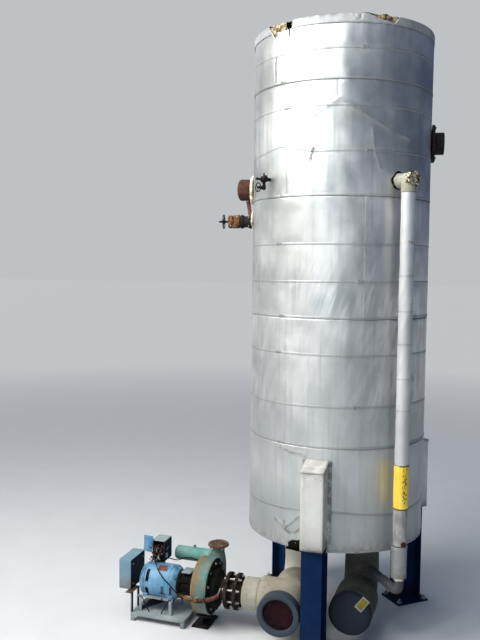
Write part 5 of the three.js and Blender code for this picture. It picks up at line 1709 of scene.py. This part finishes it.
def add_base():
    """Folded base plate on four feet, the motor's rails and posts, and the guard's posts and ledge."""
    x_middle, y_middle = -1.251, PUMP_Y
    form = Form()
    plate = standing(x_middle, y_middle, 0.0632)
    form.block((0.458, 0.350, 0.005), plate, 0.0015, 0, (0.15, 0.0005, 162), 40)
    # Painted shadow: a dark area on the plate under the motor, in the grime mark and the dark navy finish.
    x, y = (np.array(form.points)[:, :2] - np.array(AXIS)[:2]).T
    motor_shadow = np.clip(0.5 + (0.55 * (y + 0.578) - x - 1.393) / 0.02, 0, 1)
    motor_shadow = motor_shadow * fade(y, -0.625, -0.605) * fade(x, -1.450, -1.430)
    form.grime = motor_shadow.tolist()
    form.finishes = [int(motor_shadow[list(face)].mean() > 0.5) for face in form.faces]
    for y in (-0.6925, -0.3475):
        form.block((0.458, 0.0045, 0.022), standing(x_middle, y, 0.0545), 0.0012)
    for x in (-1.4775, -1.0245):
        form.block((0.0045, 0.348, 0.022), standing(x, y_middle, 0.0545), 0.0012)
    for x, right in ((-1.4625, -1), (-1.0395, 1)):
        for y, rear in ((-0.6775, -1), (-0.3625, 1)):
            form.block((0.034, 0.005, 0.062), standing(x, y + 0.0145 * rear, 0.031), 0.0012)
            form.block((0.005, 0.034, 0.062), standing(x + 0.0145 * right, y, 0.031), 0.0012)
            form.block((0.033, 0.033, 0.004), standing(x, y, 0.0022), 0.0012)
    rail_middle = -1.290
    for y, rear in ((-0.633, -1), (-0.407, 1)):
        outer = y + 0.0105 * rear
        form.block((0.298, 0.025, 0.004), standing(rail_middle, y, 0.1928), 0.001)
        form.block((0.298, 0.004, 0.015), standing(rail_middle, outer, 0.1873), 0.001)
        for x, right in ((-1.4175, -1), (-1.1625, 1)):
            form.block((0.024, 0.004, 0.130), standing(x, outer, 0.127), 0.001)
            form.block((0.004, 0.024, 0.130), standing(x + 0.010 * right, y, 0.127), 0.001)
        # Painted shade: the braces take the dark navy.
        for start, end in ((-1.408, -1.340), (-1.172, -1.240)):
            form.sweep(between(at(start, outer, 0.186), at(end, outer, 0.068), 5), 0.0045, 8, 1)
    for y in (-0.673, -0.559):
        form.block((0.005, 0.033, 0.150), standing(-1.477, y, 0.1408), 0.0008, 1)
        form.block((0.0062, 0.007, 0.150), standing(-1.4775, y - 0.0165, 0.1408), 0.0008)
    form.block((0.055, 0.151, 0.005), standing(-1.502, -0.616, 0.2189), 0.0012, 2)
    form.piece("pump_stand", [base_paint, navy_paint_and_shade, rust_tan], ["pump_base"], angle=35)


def add_bracket():
    """Dark foot under the volute."""
    form = Form()
    form.block((0.138, 0.238, 0.011), standing(-0.915, PUMP_Y, 0.0058), 0.002)
    form.block((0.018, 0.158, 0.068), standing(-0.915, PUMP_Y, 0.042), 0.002)
    form.block((0.114, 0.158, 0.009), standing(-0.9075, PUMP_Y, 0.0785), 0.002)
    form.bolts([standing(x, y, 0.011) for x in (-0.965, -0.865) for y in (-0.615, -0.425)], 0.010)
    form.piece("volute_foot", [dark_iron], ["volute_bracket"])


def add_drain():
    """Drain pipe, ochre at the motor's end and red at the pump's, with nuts, and a bit of bare tubing."""
    form = Form()
    route = [(-1.048, -0.762, 0.297), (-0.967, -0.762, 0.282), (-0.885, -0.762, 0.275),
             (-0.824, -0.757, 0.287), (-0.780, -0.715, 0.291), (-0.754, -0.675, 0.299)]
    path = smooth_path([at(*p) for p in route], 8)
    split = 22
    form.sweep(path[: split + 1], 0.0155, 18, 0, (0.03, 0.0006, 171))
    form.sweep(path[split:], 0.0155, 18, 1, (0.03, 0.0006, 172))
    nut = [(0, -0.001), (0.0168, -0.001), (0.0168, 0.018), (0.0155, 0.020), (0, 0.020)]
    for step in (0, 16, split):
        heading = (path[step + 1] - path[step]).normalized()
        turn = Matrix.Translation(path[step]) @ heading.to_track_quat("Z", "Y").to_matrix().to_4x4()
        form.lathe(nut, turn, 8, 2)
    form.piece("drain_line", [ochre, primer, rust_brown], ["drain_pipe"], angle=40)
    tubing = Form()
    route = [(-0.757, -0.680, 0.300), (-0.745, -0.672, 0.330), (-0.738, -0.655, 0.355)]
    tubing.sweep(smooth_path([at(*p) for p in route], 6), 0.0045, 10)
    tubing.piece("drain_tubing", [bare_steel])


add_volute()
add_discharge_flange()
add_coupling()
add_motor()
add_junction_box()
add_wiring()
add_reservoir()
add_guard()
add_base()
add_bracket()
add_drain()

# Solids that show only in gaps, or not at all, keep their own mesh and take a finish.
CARRIED = {
    "vessel_shell": vessel_primer,
    "top_head": vessel_primer,
    "bottom_head": vessel_primer,
    "underside_sheet": dull_sheet,
}
for node, finish in CARRIED.items():
    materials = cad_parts[node].data.materials
    materials.clear()
    materials.append(finish)

# Camera of the photograph: place from the tank's axis, turn away from it, pitch, roll and lens.
CAMERA_AT = at(1.164, -5.986, 2.780)
CAMERA_TURN = 7.37
CAMERA_PITCH = math.radians(3.76)
CAMERA_ROLL = math.radians(0.65)
CAMERA_LENS = 42.75


def add_camera():
    level = AXIS - Vector((CAMERA_AT.x, CAMERA_AT.y, 0))
    level = turned(CAMERA_TURN).to_3x3() @ level.normalized()
    ahead = (level * math.cos(CAMERA_PITCH) - Vector((0, 0, math.sin(CAMERA_PITCH)))).normalized()
    right = ahead.cross(Vector((0, 0, 1))).normalized()
    up = right.cross(ahead)
    across = right * math.cos(CAMERA_ROLL) + up * math.sin(CAMERA_ROLL)
    upright = up * math.cos(CAMERA_ROLL) - right * math.sin(CAMERA_ROLL)
    lens = bpy.data.cameras.new("camera")
    lens.lens = CAMERA_LENS
    lens.sensor_width = 36
    lens.clip_end = 200
    camera = bpy.data.objects.new("camera", lens)
    turn = Matrix((across, upright, -ahead)).transposed()
    camera.matrix_world = Matrix.Translation(CAMERA_AT) @ turn.to_4x4()
    bpy.context.scene.collection.objects.link(camera)
    bpy.context.scene.camera = camera


def add_light(name, direction, height, distance, size, power, tint):
    """A soft square light that looks at the tank's middle."""
    lamp = bpy.data.lights.new(name, "AREA")
    lamp.size = size
    lamp.energy = power
    lamp.color = tint
    thing = bpy.data.objects.new(name, lamp)
    thing.location = polar(direction, distance, height)
    thing.rotation_euler = (thing.location - at(0, 0, 2.2)).to_track_quat("Z", "Y").to_euler()
    bpy.context.scene.collection.objects.link(thing)


# Radiance of the plain backdrop and of the floor far from the tank.
BACKDROP = (0.52, 0.54, 0.56)
# The surround's radiance, from slate blue behind to bright at the left front.
SURROUND_TURN = math.radians(-62)
SURROUND = [(0.0, (0.022, 0.050, 0.120)), (0.42, (0.045, 0.085, 0.175)), (0.60, (0.19, 0.25, 0.34)),
            (0.80, (0.55, 0.57, 0.58)), (1.0, (0.80, 0.79, 0.75))]
SUNNY = (1.0, 0.98, 0.94)


def add_floor():
    """Plain pale floor that passes into the backdrop far from the tank."""
    steps = np.linspace(-150, 150, 31)
    form = Form()
    form.grid([[(x, y, 0.0) for x in steps] for y in steps])
    f = Finish("studio_floor", 0.0, 0.2)
    speck = f.noise(3.0, 4)
    shade = f.mix(f.level(speck, 0.3, 0.7), (0.60, 0.61, 0.62), (0.63, 0.64, 0.65))
    away = f.node("ShaderNodeVectorMath", 1, operation="LENGTH", Vector=f.place)
    far = f.level(away, 3.5, 16)
    f.put(f.shader.inputs["Emission Color"], BACKDROP)
    f.put(f.shader.inputs["Emission Strength"], far)
    material = f.done(f.mix(far, shade, (0.0, 0.0, 0.0)), f.level(speck, 0.3, 0.7, 0.85, 0.95))
    mesh = bpy.data.meshes.new("studio_floor")
    mesh.from_pydata(form.points, [], form.faces)
    mesh.materials.append(material)
    thing = bpy.data.objects.new("studio_floor", mesh)
    bpy.context.scene.collection.objects.link(thing)


def add_surround():
    """The world: the backdrop where it is seen, and the surround for what it lights and for reflections."""
    world = bpy.data.worlds.new("studio")
    world.use_nodes = True
    bpy.context.scene.world = world
    tree = world.node_tree
    tree.nodes.clear()
    kinds = ("TexCoord", "VectorMath", "MapRange", "ValToRGB", "Background", "Background", "LightPath",
             "MixShader", "OutputWorld")
    where, toward, share, ramp, lit, plain, rays, blend, out = [
        tree.nodes.new("ShaderNode" + kind) for kind in kinds]
    toward.operation = "DOT_PRODUCT"
    toward.inputs[1].default_value = (math.sin(SURROUND_TURN), -math.cos(SURROUND_TURN), 0.25)
    share.inputs[1].default_value = -1.0
    plain.inputs[0].default_value = (*BACKDROP, 1)
    for _ in SURROUND[1:-1]:
        ramp.color_ramp.elements.new(0.5)
    for element, (position, tint) in zip(ramp.color_ramp.elements, SURROUND):
        element.position = position
        element.color = (*tint, 1)
    tree.links.new(where.outputs["Generated"], toward.inputs[0])
    tree.links.new(toward.outputs["Value"], share.inputs[0])
    tree.links.new(share.outputs[0], ramp.inputs[0])
    tree.links.new(ramp.outputs[0], lit.inputs[0])
    tree.links.new(rays.outputs["Is Camera Ray"], blend.inputs[0])
    tree.links.new(lit.outputs[0], blend.inputs[1])
    tree.links.new(plain.outputs[0], blend.inputs[2])
    tree.links.new(blend.outputs[0], out.inputs[0])


add_camera()
add_floor()
add_surround()
add_light("key", -44.5, 6.6, 5.4, 3.9, 640, SUNNY)
add_light("card", -6, 6.6, 5.4, 1.5, 85, SUNNY)
add_light("fill", -5, 3.5, 9.0, 4.0, 60, (0.85, 0.93, 1.0))
add_light("top", 20, 9.0, 1.0, 4.0, 90, (0.88, 0.94, 1.0))
bpy.context.scene.view_settings.view_transform = "Standard"
